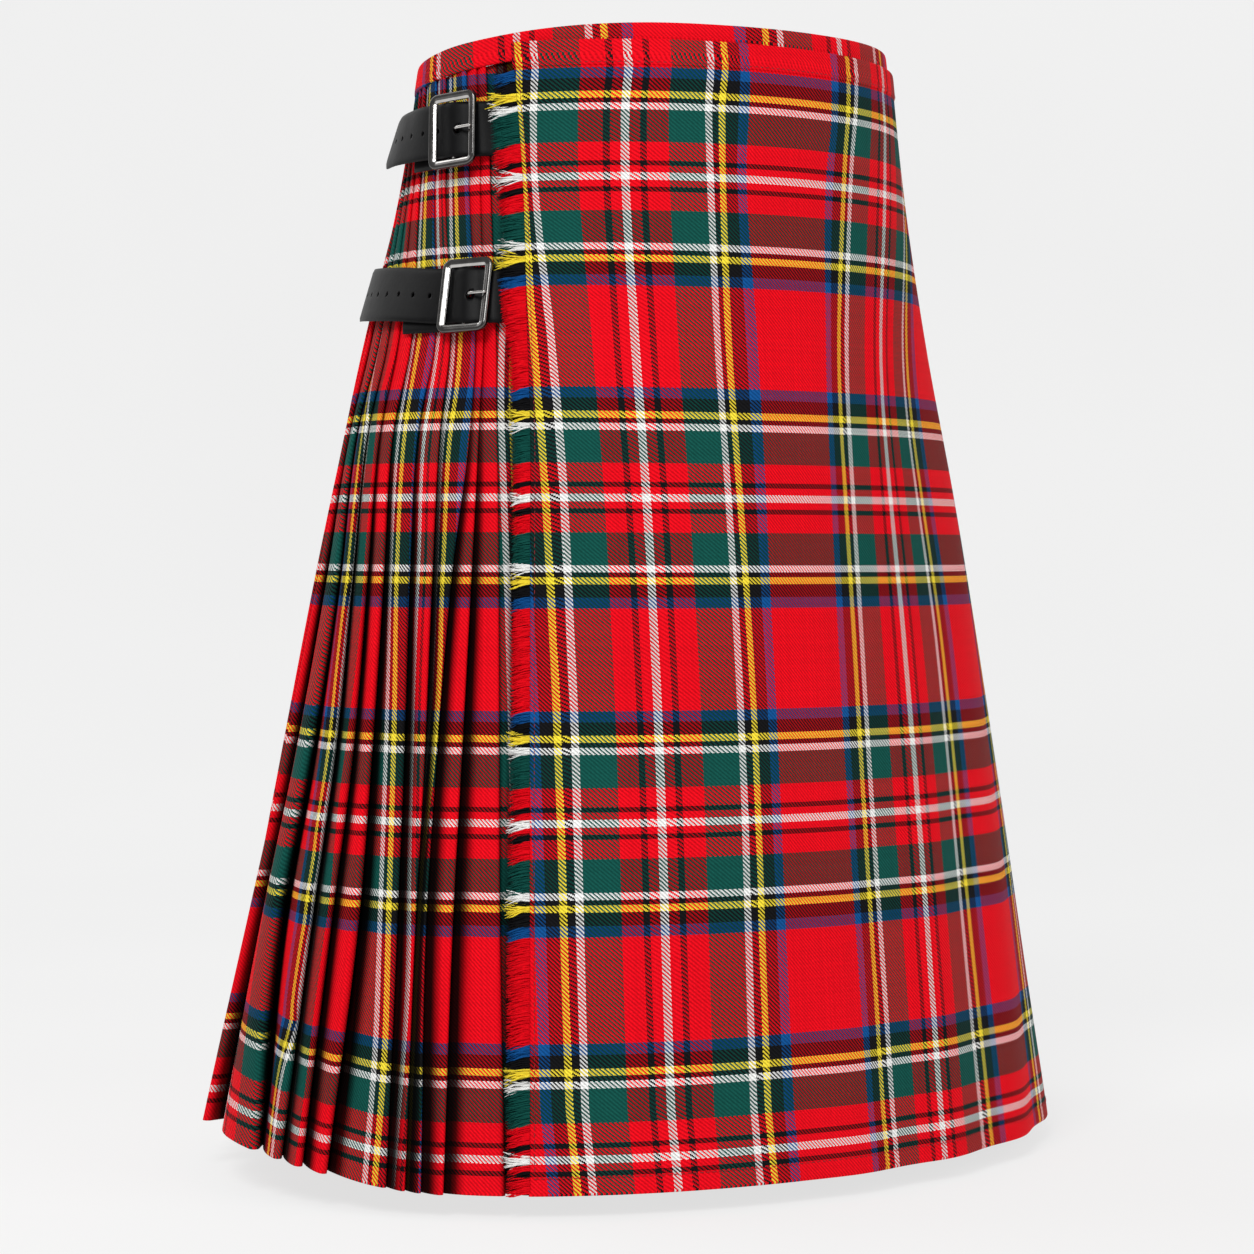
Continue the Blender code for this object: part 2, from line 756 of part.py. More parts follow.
def rounded_rectangle(spline, width, height, radius):
    """Points of a rectangle with round corners, counter-clockwise."""
    steps = 5
    points = []
    for quarter, (sx, sy) in enumerate(((1, 1), (-1, 1), (-1, -1), (1, -1))):
        cx = sx * (width / 2 - radius)
        cy = sy * (height / 2 - radius)
        for k in range(steps + 1):
            turn = (quarter + k / steps) * pi / 2
            points.append((cx + radius * cos(turn), cy + radius * sin(turn), 0.0, 1.0))
    spline.points.add(len(points) - 1)
    for place, point in zip(spline.points, points):
        place.co = point
    spline.use_cyclic_u = True


def build_buckle(fastening, collection):
    """Frame, centre bar and prong on an empty that lies on the strap. The empty's X runs toward the
    fringe, its Y up the cloth and its Z out of it."""
    name, centre, height = fastening[:3]
    along = (cloth_point(centre - GAP, height, 0.0) - cloth_point(centre + GAP, height, 0.0)).normalized()
    rising = cloth_point(centre, height + BUCKLE_BAR, 0.0) - cloth_point(centre, height - BUCKLE_BAR, 0.0)
    out = along.cross(rising).normalized()
    up = out.cross(along)
    facing = Matrix((along, up, out)).transposed().to_4x4()
    seat = bpy.data.objects.new("buckle_seat_" + name, None)
    collection.objects.link(seat)
    place = Matrix.Translation(cloth_point(centre, height, BUCKLE_LIFT + buckle_rise(fastening)))
    lean = Matrix.Rotation(radians(fastening.lean), 4, "Y")
    seat.matrix_world = place @ facing @ Matrix.Rotation(radians(fastening.turn), 4, "Z") @ lean

    outline = bpy.data.curves.new("buckle_" + name, "CURVE")
    outline.dimensions = "2D"
    outline.fill_mode = "BOTH"
    outline.extrude = BUCKLE_THICK / 2 - BUCKLE_EDGE
    outline.bevel_depth = BUCKLE_EDGE
    outline.bevel_resolution = 1
    outer = outline.splines.new("POLY")
    rounded_rectangle(
        outer, BUCKLE_WIDTH - 2 * BUCKLE_EDGE, BUCKLE_HEIGHT - 2 * BUCKLE_EDGE, BUCKLE_CORNER - BUCKLE_EDGE,
    )
    window = outline.splines.new("POLY")
    inset = 2 * (BUCKLE_BAR - BUCKLE_EDGE)
    rounded_rectangle(
        window, BUCKLE_WIDTH - inset, BUCKLE_HEIGHT - inset, BUCKLE_CORNER - BUCKLE_BAR + 2 * BUCKLE_EDGE,
    )
    frame = add_object("buckle_" + name, outline, "buckle_metal", collection)
    frame.parent = seat

    bpy.ops.mesh.primitive_cylinder_add(
        vertices=12, radius=CENTRE_BAR_RADIUS,
        depth=BUCKLE_HEIGHT - 2 * BUCKLE_BAR - 2 * GAP, rotation=(pi / 2, 0.0, 0.0),
    )
    bar = bpy.context.object
    bar.name = "bar_" + name
    bar.data.name = "bar_" + name
    bar.data.materials.append(material("buckle_metal"))
    bar.location = (0.0, 0.0, -CENTRE_BAR_DROP)
    for home in bar.users_collection:
        home.objects.unlink(bar)
    collection.objects.link(bar)
    bar.parent = seat

    prong_line = bpy.data.curves.new("prong_" + name, "CURVE")
    prong_line.dimensions = "3D"
    prong_line.bevel_depth = PRONG_RADIUS
    prong_line.bevel_resolution = 2
    prong_line.use_fill_caps = True
    rest = BUCKLE_THICK / 2 + GAP + PRONG_RADIUS
    ends = [BUCKLE_WIDTH / 2 - BUCKLE_BAR, BUCKLE_WIDTH / 2 - PRONG_TIP]
    places = PRONG_HEEL + tuple((distance, rest) for distance in [PRONG_SHOULDER] + ends)
    line = prong_line.splines.new("POLY")
    line.points.add(len(places) - 1)
    for place, (x, z) in zip(line.points, places):
        place.co = (x, 0.0, z, 1.0)
    prong = add_object("prong_" + name, prong_line, "buckle_metal", collection)
    prong.parent = seat


# ---------------------------------------------------------------- the kilt
def build_kilt():
    clear_scene()
    kilt = new_collection("scottish_kilt")
    cutters = new_collection("cutters")
    build_over_apron(kilt)
    build_under_apron(kilt)
    build_pleated_back(kilt)
    build_apron_band(kilt)
    build_inner_band(kilt)
    build_fringe(kilt)
    for fastening in FASTENINGS:
        build_strap(fastening, kilt, cutters)
        build_tab(fastening, kilt)
        build_buckle(fastening, kilt)


build_kilt()
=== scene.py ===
from math import cos, pi, radians, sin

import bmesh
import bpy
import numpy as np
from mathutils import Matrix, Vector


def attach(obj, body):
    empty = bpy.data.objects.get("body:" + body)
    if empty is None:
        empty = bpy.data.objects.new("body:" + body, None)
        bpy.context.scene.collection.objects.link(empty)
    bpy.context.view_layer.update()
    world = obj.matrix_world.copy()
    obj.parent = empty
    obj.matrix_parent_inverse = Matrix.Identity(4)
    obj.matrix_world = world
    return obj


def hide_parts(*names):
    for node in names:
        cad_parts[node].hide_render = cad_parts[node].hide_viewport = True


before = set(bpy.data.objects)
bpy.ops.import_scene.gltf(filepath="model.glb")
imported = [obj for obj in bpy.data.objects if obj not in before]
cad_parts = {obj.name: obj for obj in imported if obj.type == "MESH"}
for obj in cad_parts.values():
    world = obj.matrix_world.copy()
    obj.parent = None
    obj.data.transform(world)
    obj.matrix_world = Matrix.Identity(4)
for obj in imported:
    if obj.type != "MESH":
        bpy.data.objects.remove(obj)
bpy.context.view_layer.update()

# ---- sizes shared with the part's source, metres
GAP = 0.0003
BAND_GAP = 0.0008
SEAM_TUCK = 0.0012
CLOTH = 0.0012
HEM_Z = -0.5600
APRON_BAND_BOTTOM = 0.0243
APRON_BAND_TOP = 0.0383
INNER_BAND_HEIGHT = 0.0150
BAND_CLOTH = 0.0024
BAND_LIFT = 0.0007
BAND_CORNER = 0.45
INNER_BAND_TOPS = (
    # share of the way round from the centre front, height: rounded where they were measured through the
    # fitted camera, from -0.11 to 0.34, and guessed elsewhere; share of the way round from the centre
    # front, height: rounded by hand where the scratch program of APRON_LINES printed them, from -0.11
    # to 0.34, and guessed elsewhere
    (-0.25, 0.0480), (-0.11, 0.0492), (0.00, 0.0482), (0.06, 0.0479), (0.12, 0.0476), (0.16, 0.0464),
    (0.20, 0.0442), (0.255, 0.0400), (0.30, 0.0370), (0.34, 0.0358), (0.42, 0.0372), (0.55, 0.0415),
    (0.70, 0.0455), (0.85, 0.0480),
)
HEM_RISE = 0.0145
HEM_RISE_START = 0.245
HEM_RISE_RUN = 0.165
HEM_FALL_RUN = 0.300
HEM_RISE_HEIGHT = 0.180
SECTIONS = (
    # height, half width, half depth, centre y
    (0.052, 0.1415, 0.1195, -0.0055),
    (-0.035, 0.1517, 0.1330, -0.002),
    (-0.120, 0.1763, 0.1385, 0.001),
    (-0.205, 0.1996, 0.1465, 0.000),
    (-0.373, 0.2340, 0.1705, 0.003),
    (-0.565, 0.2713, 0.2045, 0.011),
)
APRON_EDGES = (
    # height, right edge, left edge
    (0.052, 0.1745, 0.1750),
    (-0.155, 0.1755, 0.1800),
    (-0.240, 0.1835, 0.1880),
    (-0.411, 0.2000, 0.2060),
    (-0.565, 0.2150, 0.2230),
)
FOLD_HEIGHTS = (-0.038, -0.127, -0.163, -0.242, -0.350, -0.411, -0.560)
RIGHT_FOLDS = (
    (0.1945, 0.1915, 0.1940, 0.2000, 0.2095, 0.2150, 0.2265),
    (0.2010, 0.1990, 0.2035, 0.2145, 0.2300, 0.2390, 0.2585),
    (0.2085, 0.2035, 0.2080, 0.2250, 0.2435, 0.2530, 0.2700),
    (0.2270, 0.2190, 0.2260, 0.2365, 0.2500, 0.2590, 0.2785),
    (0.2375, 0.2295, 0.2400, 0.2505, 0.2620, 0.2695, 0.2890),
    (0.2545, 0.2480, 0.2590, 0.2685, 0.2834, 0.2930, 0.3240),
    (0.2640, 0.2600, 0.2710, 0.2810, 0.2975, 0.3110, 0.3400),
    (0.2740, 0.2720, 0.2850, 0.2950, 0.3120, 0.3260, 0.3560),
    (0.2860, 0.2850, 0.3020, 0.3110, 0.3385, 0.3590, 0.3770),
    (0.3000, 0.3050, 0.3230, 0.3390, 0.3800, 0.4080, 0.4680),
)
BACK_FOLD_COUNT = 26
BACK_FOLD_DRIFT = 0.0045
PLEAT_RELIEF = (
    # height, depth, overhang
    (0.052, 0.0024, 0.0032),
    (-0.110, 0.0030, 0.0042),
    (-0.170, 0.0042, 0.0050),
    (-0.240, 0.0062, 0.0060),
    (-0.350, 0.0100, 0.0075),
    (-0.565, 0.0150, 0.0090),
)
FIRST_PLEAT_DEPTH = 0.6
WALL_END = 0.009
SEAM_Z = 0.030
# Rows of stitches, from the over apron's free edge and from its hem.
EDGE_STITCH = 0.0030
HEM_STITCH = 0.0090
STITCH_LENGTH = 0.0024
STITCH_WIDTH = 0.00042
STITCH_SINK = 0.0001
# From one stitch to the next, in lengths of a stitch.
STITCH_PITCH = 1.45
# Thickness of the cloth in this script.
APRON_SHELL = 0.0011
UNDER_APRON_SHELL = 0.0010
PLEAT_SHELL = 0.0008
APRON_FOLD_HEIGHT = 0.0034
APRON_FOLD_PITCH = 0.0125
TUCK = 0.0030
TUCK_RUN = 0.045
UNDER_APRON_LIFT = -0.0047
UNDER_APRON_DIP_RUN = 0.022
UNDER_APRON_LEFT = ((0.052, 0.150), (-0.565, 0.188))
YARN_LENGTHS = (
    (0.052, 0.0130), (-0.080, 0.0138), (-0.125, 0.0106), (-0.160, 0.0098), (-0.310, 0.0098),
    (-0.410, 0.0112), (-0.565, 0.0116),
)
# How far the fringe's painted shadow fades beyond its tips.
TIP_SHADOW = 0.0030
STRAP_WIDTH = 0.030
STRAP_LEATHER = 0.0015
STRAP_HOLE_RADIUS = 0.0013
PRONG_HOLE_RADIUS = 0.0024
STRAP_HOLE_PITCH = 0.0125
FIRST_HOLE = 0.0112
PRONG_HOLE = -0.0034
STRAP_FLARE_RUN = 0.040
# The tail's end: between a half circle, which is 2, and a square.
STRAP_END = 2.7
# Share of the leather's thickness that is left at its edges.
LEATHER_EDGE = 0.30
STRAP_SLOPE_RUN = 0.050
STRAP_HIDDEN_COURSE = ((0.1690, -0.00350), (0.1775, -0.00350), (0.1825, -0.00215))
STRAP_COURSE = (
    # distance, lift, share of the buckle's rise
    (-0.01620, 0.00120, 0.00),
    (-0.01400, 0.00210, 0.05),
    (-0.01100, 0.00220, 0.16),
    (-0.00600, 0.00465, 0.60),
    (0.00000, 0.00610, 1.00),
    (0.00600, 0.00480, 1.30),
    (0.01100, 0.00310, 1.60),
    (0.01700, 0.00320, 1.75),
    (0.04500, 0.00320, 1.00),
)
STRAP_TAIL_LIFT = 0.0031
STRAP_TAIL_RISE = 0.8
TAB_LEATHER = 0.0013
TAB_WIDTH = 0.026
TAB_DROP = 0.0062
TAB_COURSE = ((-0.0020, 0.00145, 1.0), (0.0080, 0.00135, 0.6), (0.0180, 0.00130, 0.0), (0.0460, 0.00125, 0.0))
BUCKLE_WIDTH = 0.0305
BUCKLE_HEIGHT = 0.0415
BUCKLE_BAR = 0.0036
BUCKLE_THICK = 0.0032
BUCKLE_CORNER = 0.0055
BUCKLE_LIFT = 0.0063
CENTRE_BAR_RADIUS = 0.0009
CENTRE_BAR_DROP = 0.0017
PRONG_RADIUS = 0.0009
PRONG_HEEL = ((0.0024, -0.0010), (0.0028, 0.0006), (0.0036, 0.0020), (0.0056, 0.0028))
PRONG_SHOULDER = 0.0100
PRONG_TIP = 0.0012
# name, arc and height of the buckle, lean, turn, flare and slope of the tail, arc of its end, holes
FASTENINGS = (
    ("upper", 0.2100, -0.0075, 10.0, 6.0, 0.0050, 0.000, 0.290, 5),
    ("lower", 0.2043, -0.0980, 0.0, 2.5, 0.0010, 0.060, 0.338, 8),
)

# ---- the sett, in threads of 0.904 mm
THREAD = 0.000904
HALF_SETT = 94.0
WHITE, RED, BLACK, GREEN, YELLOW, BLUE = (
    (0.88, 0.88, 0.86, 1), (0.80, 0.003, 0.011, 1), (0.007, 0.007, 0.008, 1),
    (0.006, 0.080, 0.064, 1), (0.92, 0.72, 0.045, 1), (0.006, 0.082, 0.28, 1),
)
YARNS_A_THREAD = 1.6
# Share of each yarn's colour kept where it crosses another colour: painted shade of the twill's relief at the
# crossings.
WARP_CROSSING_SHADE = {WHITE: 0.70, RED: 0.44, BLACK: 1.0, GREEN: 0.52, YELLOW: 0.76, BLUE: 0.60}
WEFT_CROSSING_SHADE = {WHITE: 1.0, RED: 0.95, BLACK: 1.0, GREEN: 0.62, YELLOW: 1.0, BLUE: 0.66}
# Over a pale yarn the other one keeps its full colour, without that painted shade.
PALE = {WHITE: 1.0, RED: 0.0, BLACK: 0.0, GREEN: 0.0, YELLOW: 1.0, BLUE: 0.0}
SETT = (
    # from thread, counted from the white line in the middle, colour
    (0, WHITE), (2, RED), (6, BLACK), (9, RED), (20, GREEN), (39, WHITE),
    (43, BLACK), (46, YELLOW), (50, BLACK), (58, BLUE), (64, RED),
)
# Height of the cross lines: count of threads down from the white line at the upper strap.
WEFT_ROWS = ((0.0550, -99.6), (-0.035, 0), (-0.120, 94), (-0.205, 188), (-0.373, 376), (-0.559, 583))
# The over apron's long lines: thread, and (height, arc) down the line. 64 of these 68 pairs are as a scratch
# program printed them: it put places on the photo through the fitted camera.
APRON_LINES = (
    (-48, (
        (0.0251, 0.1705), (0.0069, 0.1722), (-0.0200, 0.1722), (-0.1223, 0.1697),
        (-0.2840, 0.1747), (-0.5169, 0.1893),
    )),
    (-41, (
        (0.0246, 0.1609), (0.0064, 0.1633), (-0.0204, 0.1655), (-0.1223, 0.1601),
        (-0.2840, 0.1653), (-0.5171, 0.1811),
    )),
    (0, (
        (0.0236, 0.1106), (0.0054, 0.1138), (-0.0213, 0.1163), (-0.1221, 0.1164),
        (-0.2841, 0.1214), (-0.5187, 0.1365),
    )),
    (41, (
        (0.0237, 0.0664), (0.0065, 0.0692), (-0.0203, 0.0710), (-0.1211, 0.0708),
        (-0.2845, 0.0746), (-0.5215, 0.0904),
    )),
    (48, (
        (0.0231, 0.0581), (0.0068, 0.0613), (-0.0200, 0.0636), (-0.1210, 0.0643),
        (-0.2846, 0.0667), (-0.5221, 0.0815),
    )),
    (64, (
        (0.0186, 0.0436), (-0.0031, 0.0467), (-0.0193, 0.0492), (-0.1204, 0.0465),
        (-0.2848, 0.0523), (-0.5234, 0.0656),
    )),
    (124, (
        (0.0202, -0.0145), (-0.0098, -0.0092), (-0.0154, -0.0075), (-0.1186, -0.0014),
        (-0.2855, 0.0075), (-0.5277, 0.0177),
    )),
    (140, (
        (0.0207, -0.0301), (0.0072, -0.0275), (-0.0142, -0.0222), (-0.1181, -0.0118),
        (-0.2857, -0.0055), (-0.5289, 0.0060),
    )),
    (147, (
        (0.0217, -0.0385), (0.0057, -0.0346), (-0.0135, -0.0289), (-0.1178, -0.0186),
        (-0.2859, -0.0119), (-0.5298, -0.0024),
    )),
    (188, (
        (0.0225, -0.0742), (0.0032, -0.0722), (-0.0095, -0.0688), (-0.1163, -0.0503),
        (-0.2865, -0.0462), (-0.5339, -0.0387),
    )),
    (229, ((-0.0080, -0.1120), (-0.1148, -0.0781), (-0.2874, -0.0832), (-0.5391, -0.0801))),
    (236, ((-0.0080, -0.1185), (-0.1145, -0.0843), (-0.2876, -0.0910), (-0.5404, -0.0904))),
)
# The white and yellow lines keep their own width, counted here as half of it in threads.
PALE_LINES = (-48, -41, 0, 41, 48, 140, 147, 188, 229, 236)
PALE_LINE_HALF = 2.0
# Beside each red line with a white middle, a dark line keeps its distance too.
DARK_LINE_THREAD = 7.5
DARK_LINE_OFFSET = 0.0098
APRON_THREAD = 0.00093
# The inner band is cut from another place in the cloth: thread, arc. All 13 arcs were found in the same way,
# through the fitted camera. All 13 arcs are as that program printed them.
BAND_LINES = (
    (-48, 0.2415), (-41, 0.2319), (0, 0.1725), (41, 0.1313), (48, 0.1226), (61, 0.1098), (94, 0.0789),
    (127, 0.0465), (140, 0.0295), (147, 0.0194), (188, -0.0277), (229, -0.0714), (236, -0.0834),
)
# What each visible pleat shows: a thread and its arcs at a few heights, and threads' pitch. Where no arcs
# are given, the thread is the one at the pleat's own edge. Two pairs were found through the fitted camera,
# and
# 24 others lie within about a millimetre of values found that way. Two pairs are as that program printed
# them, and 24 others lie within about a millimetre of what it printed.
FACES = (
    (106.0, None, 1.0),
    (101.0, None, 1.0),
    (41.0, (
        (-0.035, 0.2235), (-0.065, 0.2210), (-0.100, 0.2170), (-0.150, 0.2213),
        (-0.165, 0.2250), (-0.240, 0.2348), (-0.310, 0.2432), (-0.341, 0.2486),
        (-0.400, 0.2600), (-0.560, 0.2840),
    ), 0.80),
    (0.0, (
        (-0.035, 0.2345), (-0.065, 0.2305), (-0.100, 0.2255), (-0.150, 0.2322),
        (-0.165, 0.2360), (-0.240, 0.2449), (-0.311, 0.2535), (-0.362, 0.2587),
        (-0.403, 0.2626), (-0.438, 0.2656), (-0.560, 0.2850),
    ), 0.72),
    (41.0, (
        (-0.035, 0.2525), (-0.065, 0.2490), (-0.100, 0.2445), (-0.150, 0.2530),
        (-0.165, 0.2560), (-0.240, 0.2645), (-0.311, 0.2698), (-0.371, 0.2758),
        (-0.422, 0.2815), (-0.487, 0.2889), (-0.560, 0.3010),
    ), 0.95),
    (98.0, None, 1.0),
    (147.0, (
        (-0.165, 0.2850), (-0.300, 0.3010), (-0.370, 0.3160), (-0.409, 0.3225),
        (-0.446, 0.3304), (-0.479, 0.3371), (-0.513, 0.3433), (-0.560, 0.3530),
    ), 0.60),
    (140.0, (
        (-0.165, 0.2900), (-0.290, 0.3030), (-0.333, 0.3108), (-0.373, 0.3183),
        (-0.412, 0.3292), (-0.446, 0.3350), (-0.479, 0.3418), (-0.517, 0.3568),
        (-0.560, 0.3650),
    ), 0.75),
    (30.0, None, 2.1),
    (104.0, None, 1.0),
)
BACK_START = 118.0
# The under apron's white line beside the fringe. Four pairs lie within about a millimetre of printed ones.
UNDER_LINE_THREAD = 41.0
UNDER_LINE = (
    (0.052, 0.1860), (-0.110, 0.1880), (-0.154, 0.1917), (-0.206, 0.1947), (-0.258, 0.1972),
    (-0.310, 0.2004), (-0.560, 0.2180),
)


# ---- the outline
def eased(x, table, column):
    """A column of a table, eased between its rows by cubic curves."""
    rows = sorted(table, key=lambda row: row[0])
    xs = np.array([row[0] for row in rows])
    ys = np.array([row[column] for row in rows])
    x = np.clip(x, xs[0], xs[-1])
    slopes = np.gradient(ys, xs)
    i = np.clip(np.searchsorted(xs, x) - 1, 0, len(xs) - 2)
    step = xs[i + 1] - xs[i]
    t = (x - xs[i]) / step
    from_start = (1 + 2 * t) * (1 - t) ** 2 * ys[i] + t * (1 - t) ** 2 * step * slopes[i]
    return from_start + t * t * (3 - 2 * t) * ys[i + 1] + t * t * (t - 1) * step * slopes[i + 1]


def smooth_step(x):
    x = np.clip(x, 0.0, 1.0)
    return x * x * (3 - 2 * x)


def between(start, end, share):
    return start + (end - start) * share


TURNS = np.linspace(-2 * pi, 2 * pi, 1441)
LEVELS = np.linspace(-0.590, 0.062, 164)
SHARES = np.linspace(-1.0, 1.0, 2881)


def outline_tables():
    perimeters = []
    angles = []
    for z in LEVELS:
        half_width, half_depth = (float(eased(z, SECTIONS, column)) for column in (1, 2))
        x = -half_width * np.sin(TURNS)
        y = -half_depth * np.cos(TURNS)
        arcs = np.concatenate([[0.0], np.cumsum(np.hypot(np.diff(x), np.diff(y)))])
        arcs -= np.interp(0.0, TURNS, arcs)
        perimeter = (arcs[-1] - arcs[0]) / 2
        perimeters.append(perimeter)
        angles.append(np.interp(SHARES * perimeter, arcs, TURNS))
    return np.array(perimeters), np.array(angles)


PERIMETERS, ANGLES = outline_tables()


def perimeter(z):
    return np.interp(z, LEVELS, PERIMETERS)


def cloth_points(arc, z, lift):
    """Points in space, of arrays of arcs, heights and lifts."""
    arc, z, lift = np.broadcast_arrays(np.asarray(arc, float), np.asarray(z, float), np.asarray(lift, float))
    row = np.clip((z - LEVELS[0]) / (LEVELS[1] - LEVELS[0]), 0, len(LEVELS) - 1.001)
    column = np.clip((arc / perimeter(z) + 1) / (SHARES[1] - SHARES[0]), 0, len(SHARES) - 1.001)
    i, j = row.astype(int), column.astype(int)
    s, t = row - i, column - j
    angle = (1 - s) * ((1 - t) * ANGLES[i, j] + t * ANGLES[i, j + 1])
    angle += s * ((1 - t) * ANGLES[i + 1, j] + t * ANGLES[i + 1, j + 1])
    half_width, half_depth, centre_y = (eased(z, SECTIONS, column) for column in (1, 2, 3))
    out_x, out_y = -np.sin(angle) / half_width, -np.cos(angle) / half_depth
    length = np.hypot(out_x, out_y)
    x = -half_width * np.sin(angle) + out_x / length * lift
    y = centre_y - half_depth * np.cos(angle) + out_y / length * lift
    return np.stack([x, y, z], axis=-1)


def cloth_point(arc, z, lift):
    return Vector([float(c) for c in cloth_points(arc, z, lift)])


def right_edge(z):
    return eased(z, APRON_EDGES, 1)


def left_edge(z):
    return eased(z, APRON_EDGES, 2)


def pleats_end(z):
    return perimeter(z) - left_edge(z)


def tuck(arc, z):
    near = np.minimum(arc - right_edge(z), pleats_end(z) - arc)
    return -TUCK * (1 - smooth_step(near / TUCK_RUN))


def weft(z):
    return eased(z, WEFT_ROWS, 1)


def apron_wave(arc, z):
    fall = smooth_step((0.0 - z) / 0.50)
    side = smooth_step((0.10 - arc) / 0.14) * smooth_step((arc + left_edge(z)) / 0.05)
    return APRON_FOLD_HEIGHT * fall * side * (0.5 + 0.5 * np.sin(arc / APRON_FOLD_PITCH + 1.5 * z))


def inner_band_top(arc):
    return eased(arc / perimeter(APRON_BAND_BOTTOM), INNER_BAND_TOPS, 1)


def cloth_top(arc):
    return inner_band_top(arc) - INNER_BAND_HEIGHT - BAND_GAP


def pleat_height(arc, z):
    """Height of the pleats' rows: the threads above the hem rise with it."""
    near = smooth_step((arc - HEM_RISE_START) / HEM_RISE_RUN)
    near = near * smooth_step((pleats_end(z) - arc) / HEM_FALL_RUN)
    return z + HEM_RISE * near * smooth_step((HEM_Z + HEM_RISE_HEIGHT - z) / HEM_RISE_HEIGHT)


def fold_arcs(z):
    """Arcs of all pleat edges, one row for each height."""
    arcs = [eased(z, tuple(zip(FOLD_HEIGHTS, fold)), 1) for fold in RIGHT_FOLDS]
    last = arcs[-1]
    end = pleats_end(z) + 0.0005
    pitch = (end - last) / (BACK_FOLD_COUNT + 1)
    loose = smooth_step((-0.16 - z) / 0.36)
    for k in range(1, BACK_FOLD_COUNT + 1):
        drift = BACK_FOLD_DRIFT * loose * (sin(2.3 * k) + 0.6 * sin(0.9 * k + 1.0))
        arcs.append(last + pitch * k + drift * min(1.0, (BACK_FOLD_COUNT + 1 - k) / 3))
    arcs.append(end)
    return np.stack(arcs, axis=-1)


def fold_relief(arcs, k, z):
    ahead = arcs[..., k] - arcs[..., k - 1] if k else arcs[..., 1] - arcs[..., 0]
    behind = arcs[..., k + 1] - arcs[..., k] if k + 1 < arcs.shape[-1] else ahead
    narrow = np.minimum(ahead, behind)
    depth = np.minimum(eased(z, PLEAT_RELIEF, 1), 0.55 * narrow + 0.0008)
    overhang = np.minimum(eased(z, PLEAT_RELIEF, 2), 0.40 * narrow)
    if k == 0:
        depth = np.maximum(FIRST_PLEAT_DEPTH * depth, 2 * CLOTH)
    return depth, overhang


def first_groove(z):
    arcs = fold_arcs(z)
    depth, overhang = fold_relief(arcs, 0, z)
    return arcs[..., 0] + overhang, tuck(arcs[..., 0], z) - depth


# ---- mesh helpers
def new_object(name, mesh, *materials):
    made = bpy.data.objects.new(name, mesh)
    bpy.context.scene.collection.objects.link(made)
    for one in materials:
        mesh.materials.append(one)
    return made


def new_mesh(name, points, faces):
    mesh = bpy.data.meshes.new(name)
    mesh.from_pydata(np.array(points, float).reshape(-1, 3).tolist(), [], faces)
    mesh.shade_smooth()
    return mesh


def give_map(mesh, name, places):
    mesh.uv_layers.new(name=name).data.foreach_set("uv", np.asarray(places, np.float32).ravel())


def grid_faces(rows, columns):
    j, i = np.meshgrid(np.arange(rows - 1), np.arange(columns - 1), indexing="ij")
    corner = j * columns + i
    return np.stack([corner, corner + 1, corner + columns + 1, corner + columns], axis=-1).reshape(-1, 4)


def ring_faces(base, stations, around):
    """Faces between closed rings of points that follow each other from a first point."""
    faces = []
    for s in range(stations - 1):
        near, far = base + s * around, base + (s + 1) * around
        faces += [(near + a, near + (a + 1) % around, far + (a + 1) % around, far + a) for a in range(around)]
    return faces


def turn_outward(mesh):
    work = bmesh.new()
    work.from_mesh(mesh)
    bmesh.ops.recalc_face_normals(work, faces=work.faces)
    work.to_mesh(mesh)
    work.free()


def cloth_object(name, points, faces, threads, shade, thickness):
    """An open sheet of tartan with its thickness on the inside.

    threads holds each face corner's place in the cloth, in threads, and shade how dark its colour is painted
    there: painted shade between pleats and under the fringe."""
    mesh = new_mesh(name, points, faces.tolist())
    give_map(mesh, "sett", threads)
    # The map named fold carries the painted shade.
    if shade is not None:
        give_map(mesh, "fold", shade)
    made = new_object(name, mesh, TARTAN)
    wall = made.modifiers.new("wall", "SOLIDIFY")
    wall.thickness = thickness
    wall.offset = -1.0
    wall.use_even_offset = False
    return made


def corner_threads(u, v):
    """Places of the face corners of a grid, from those of its points."""
    threads = np.stack(np.broadcast_arrays(u, v), axis=-1)
    return np.stack([threads[:-1, :-1], threads[:-1, 1:], threads[1:, 1:], threads[1:, :-1]], axis=2)


def cloth_sheet(name, arc, z, lift, threads, thickness, shade=None):
    """A cloth_object whose points are a grid of arcs, heights and lifts."""
    if shade is not None:
        shade = corner_threads(shade, np.zeros_like(shade))
    return cloth_object(name, cloth_points(arc, z, lift), grid_faces(*arc.shape), threads, shade, thickness)


def swept(name, rings, threads, material):
    """A closed section swept along rings of points, with caps. rings: (stations, around, 3)."""
    stations, around = rings.shape[:2]
    caps = [tuple(range(around))[::-1], tuple((stations - 1) * around + a for a in range(around))]
    mesh = new_mesh(name, rings, ring_faces(0, stations, around) + caps)
    if threads is not None:
        # One more column, so that the last face goes on and doesn't run back through the whole cloth.
        threads = np.concatenate([threads, 2 * threads[:, -1:] - threads[:, -2:-1]], axis=1)
        sides = np.stack([threads[:-1, :-1], threads[:-1, 1:], threads[1:, 1:], threads[1:, :-1]], axis=2)
        corners = [part.ravel() for part in (sides, threads[0, :around][::-1], threads[-1, :around])]
        give_map(mesh, "sett", np.concatenate(corners))
    turn_outward(mesh)
    return new_object(name, mesh, material)


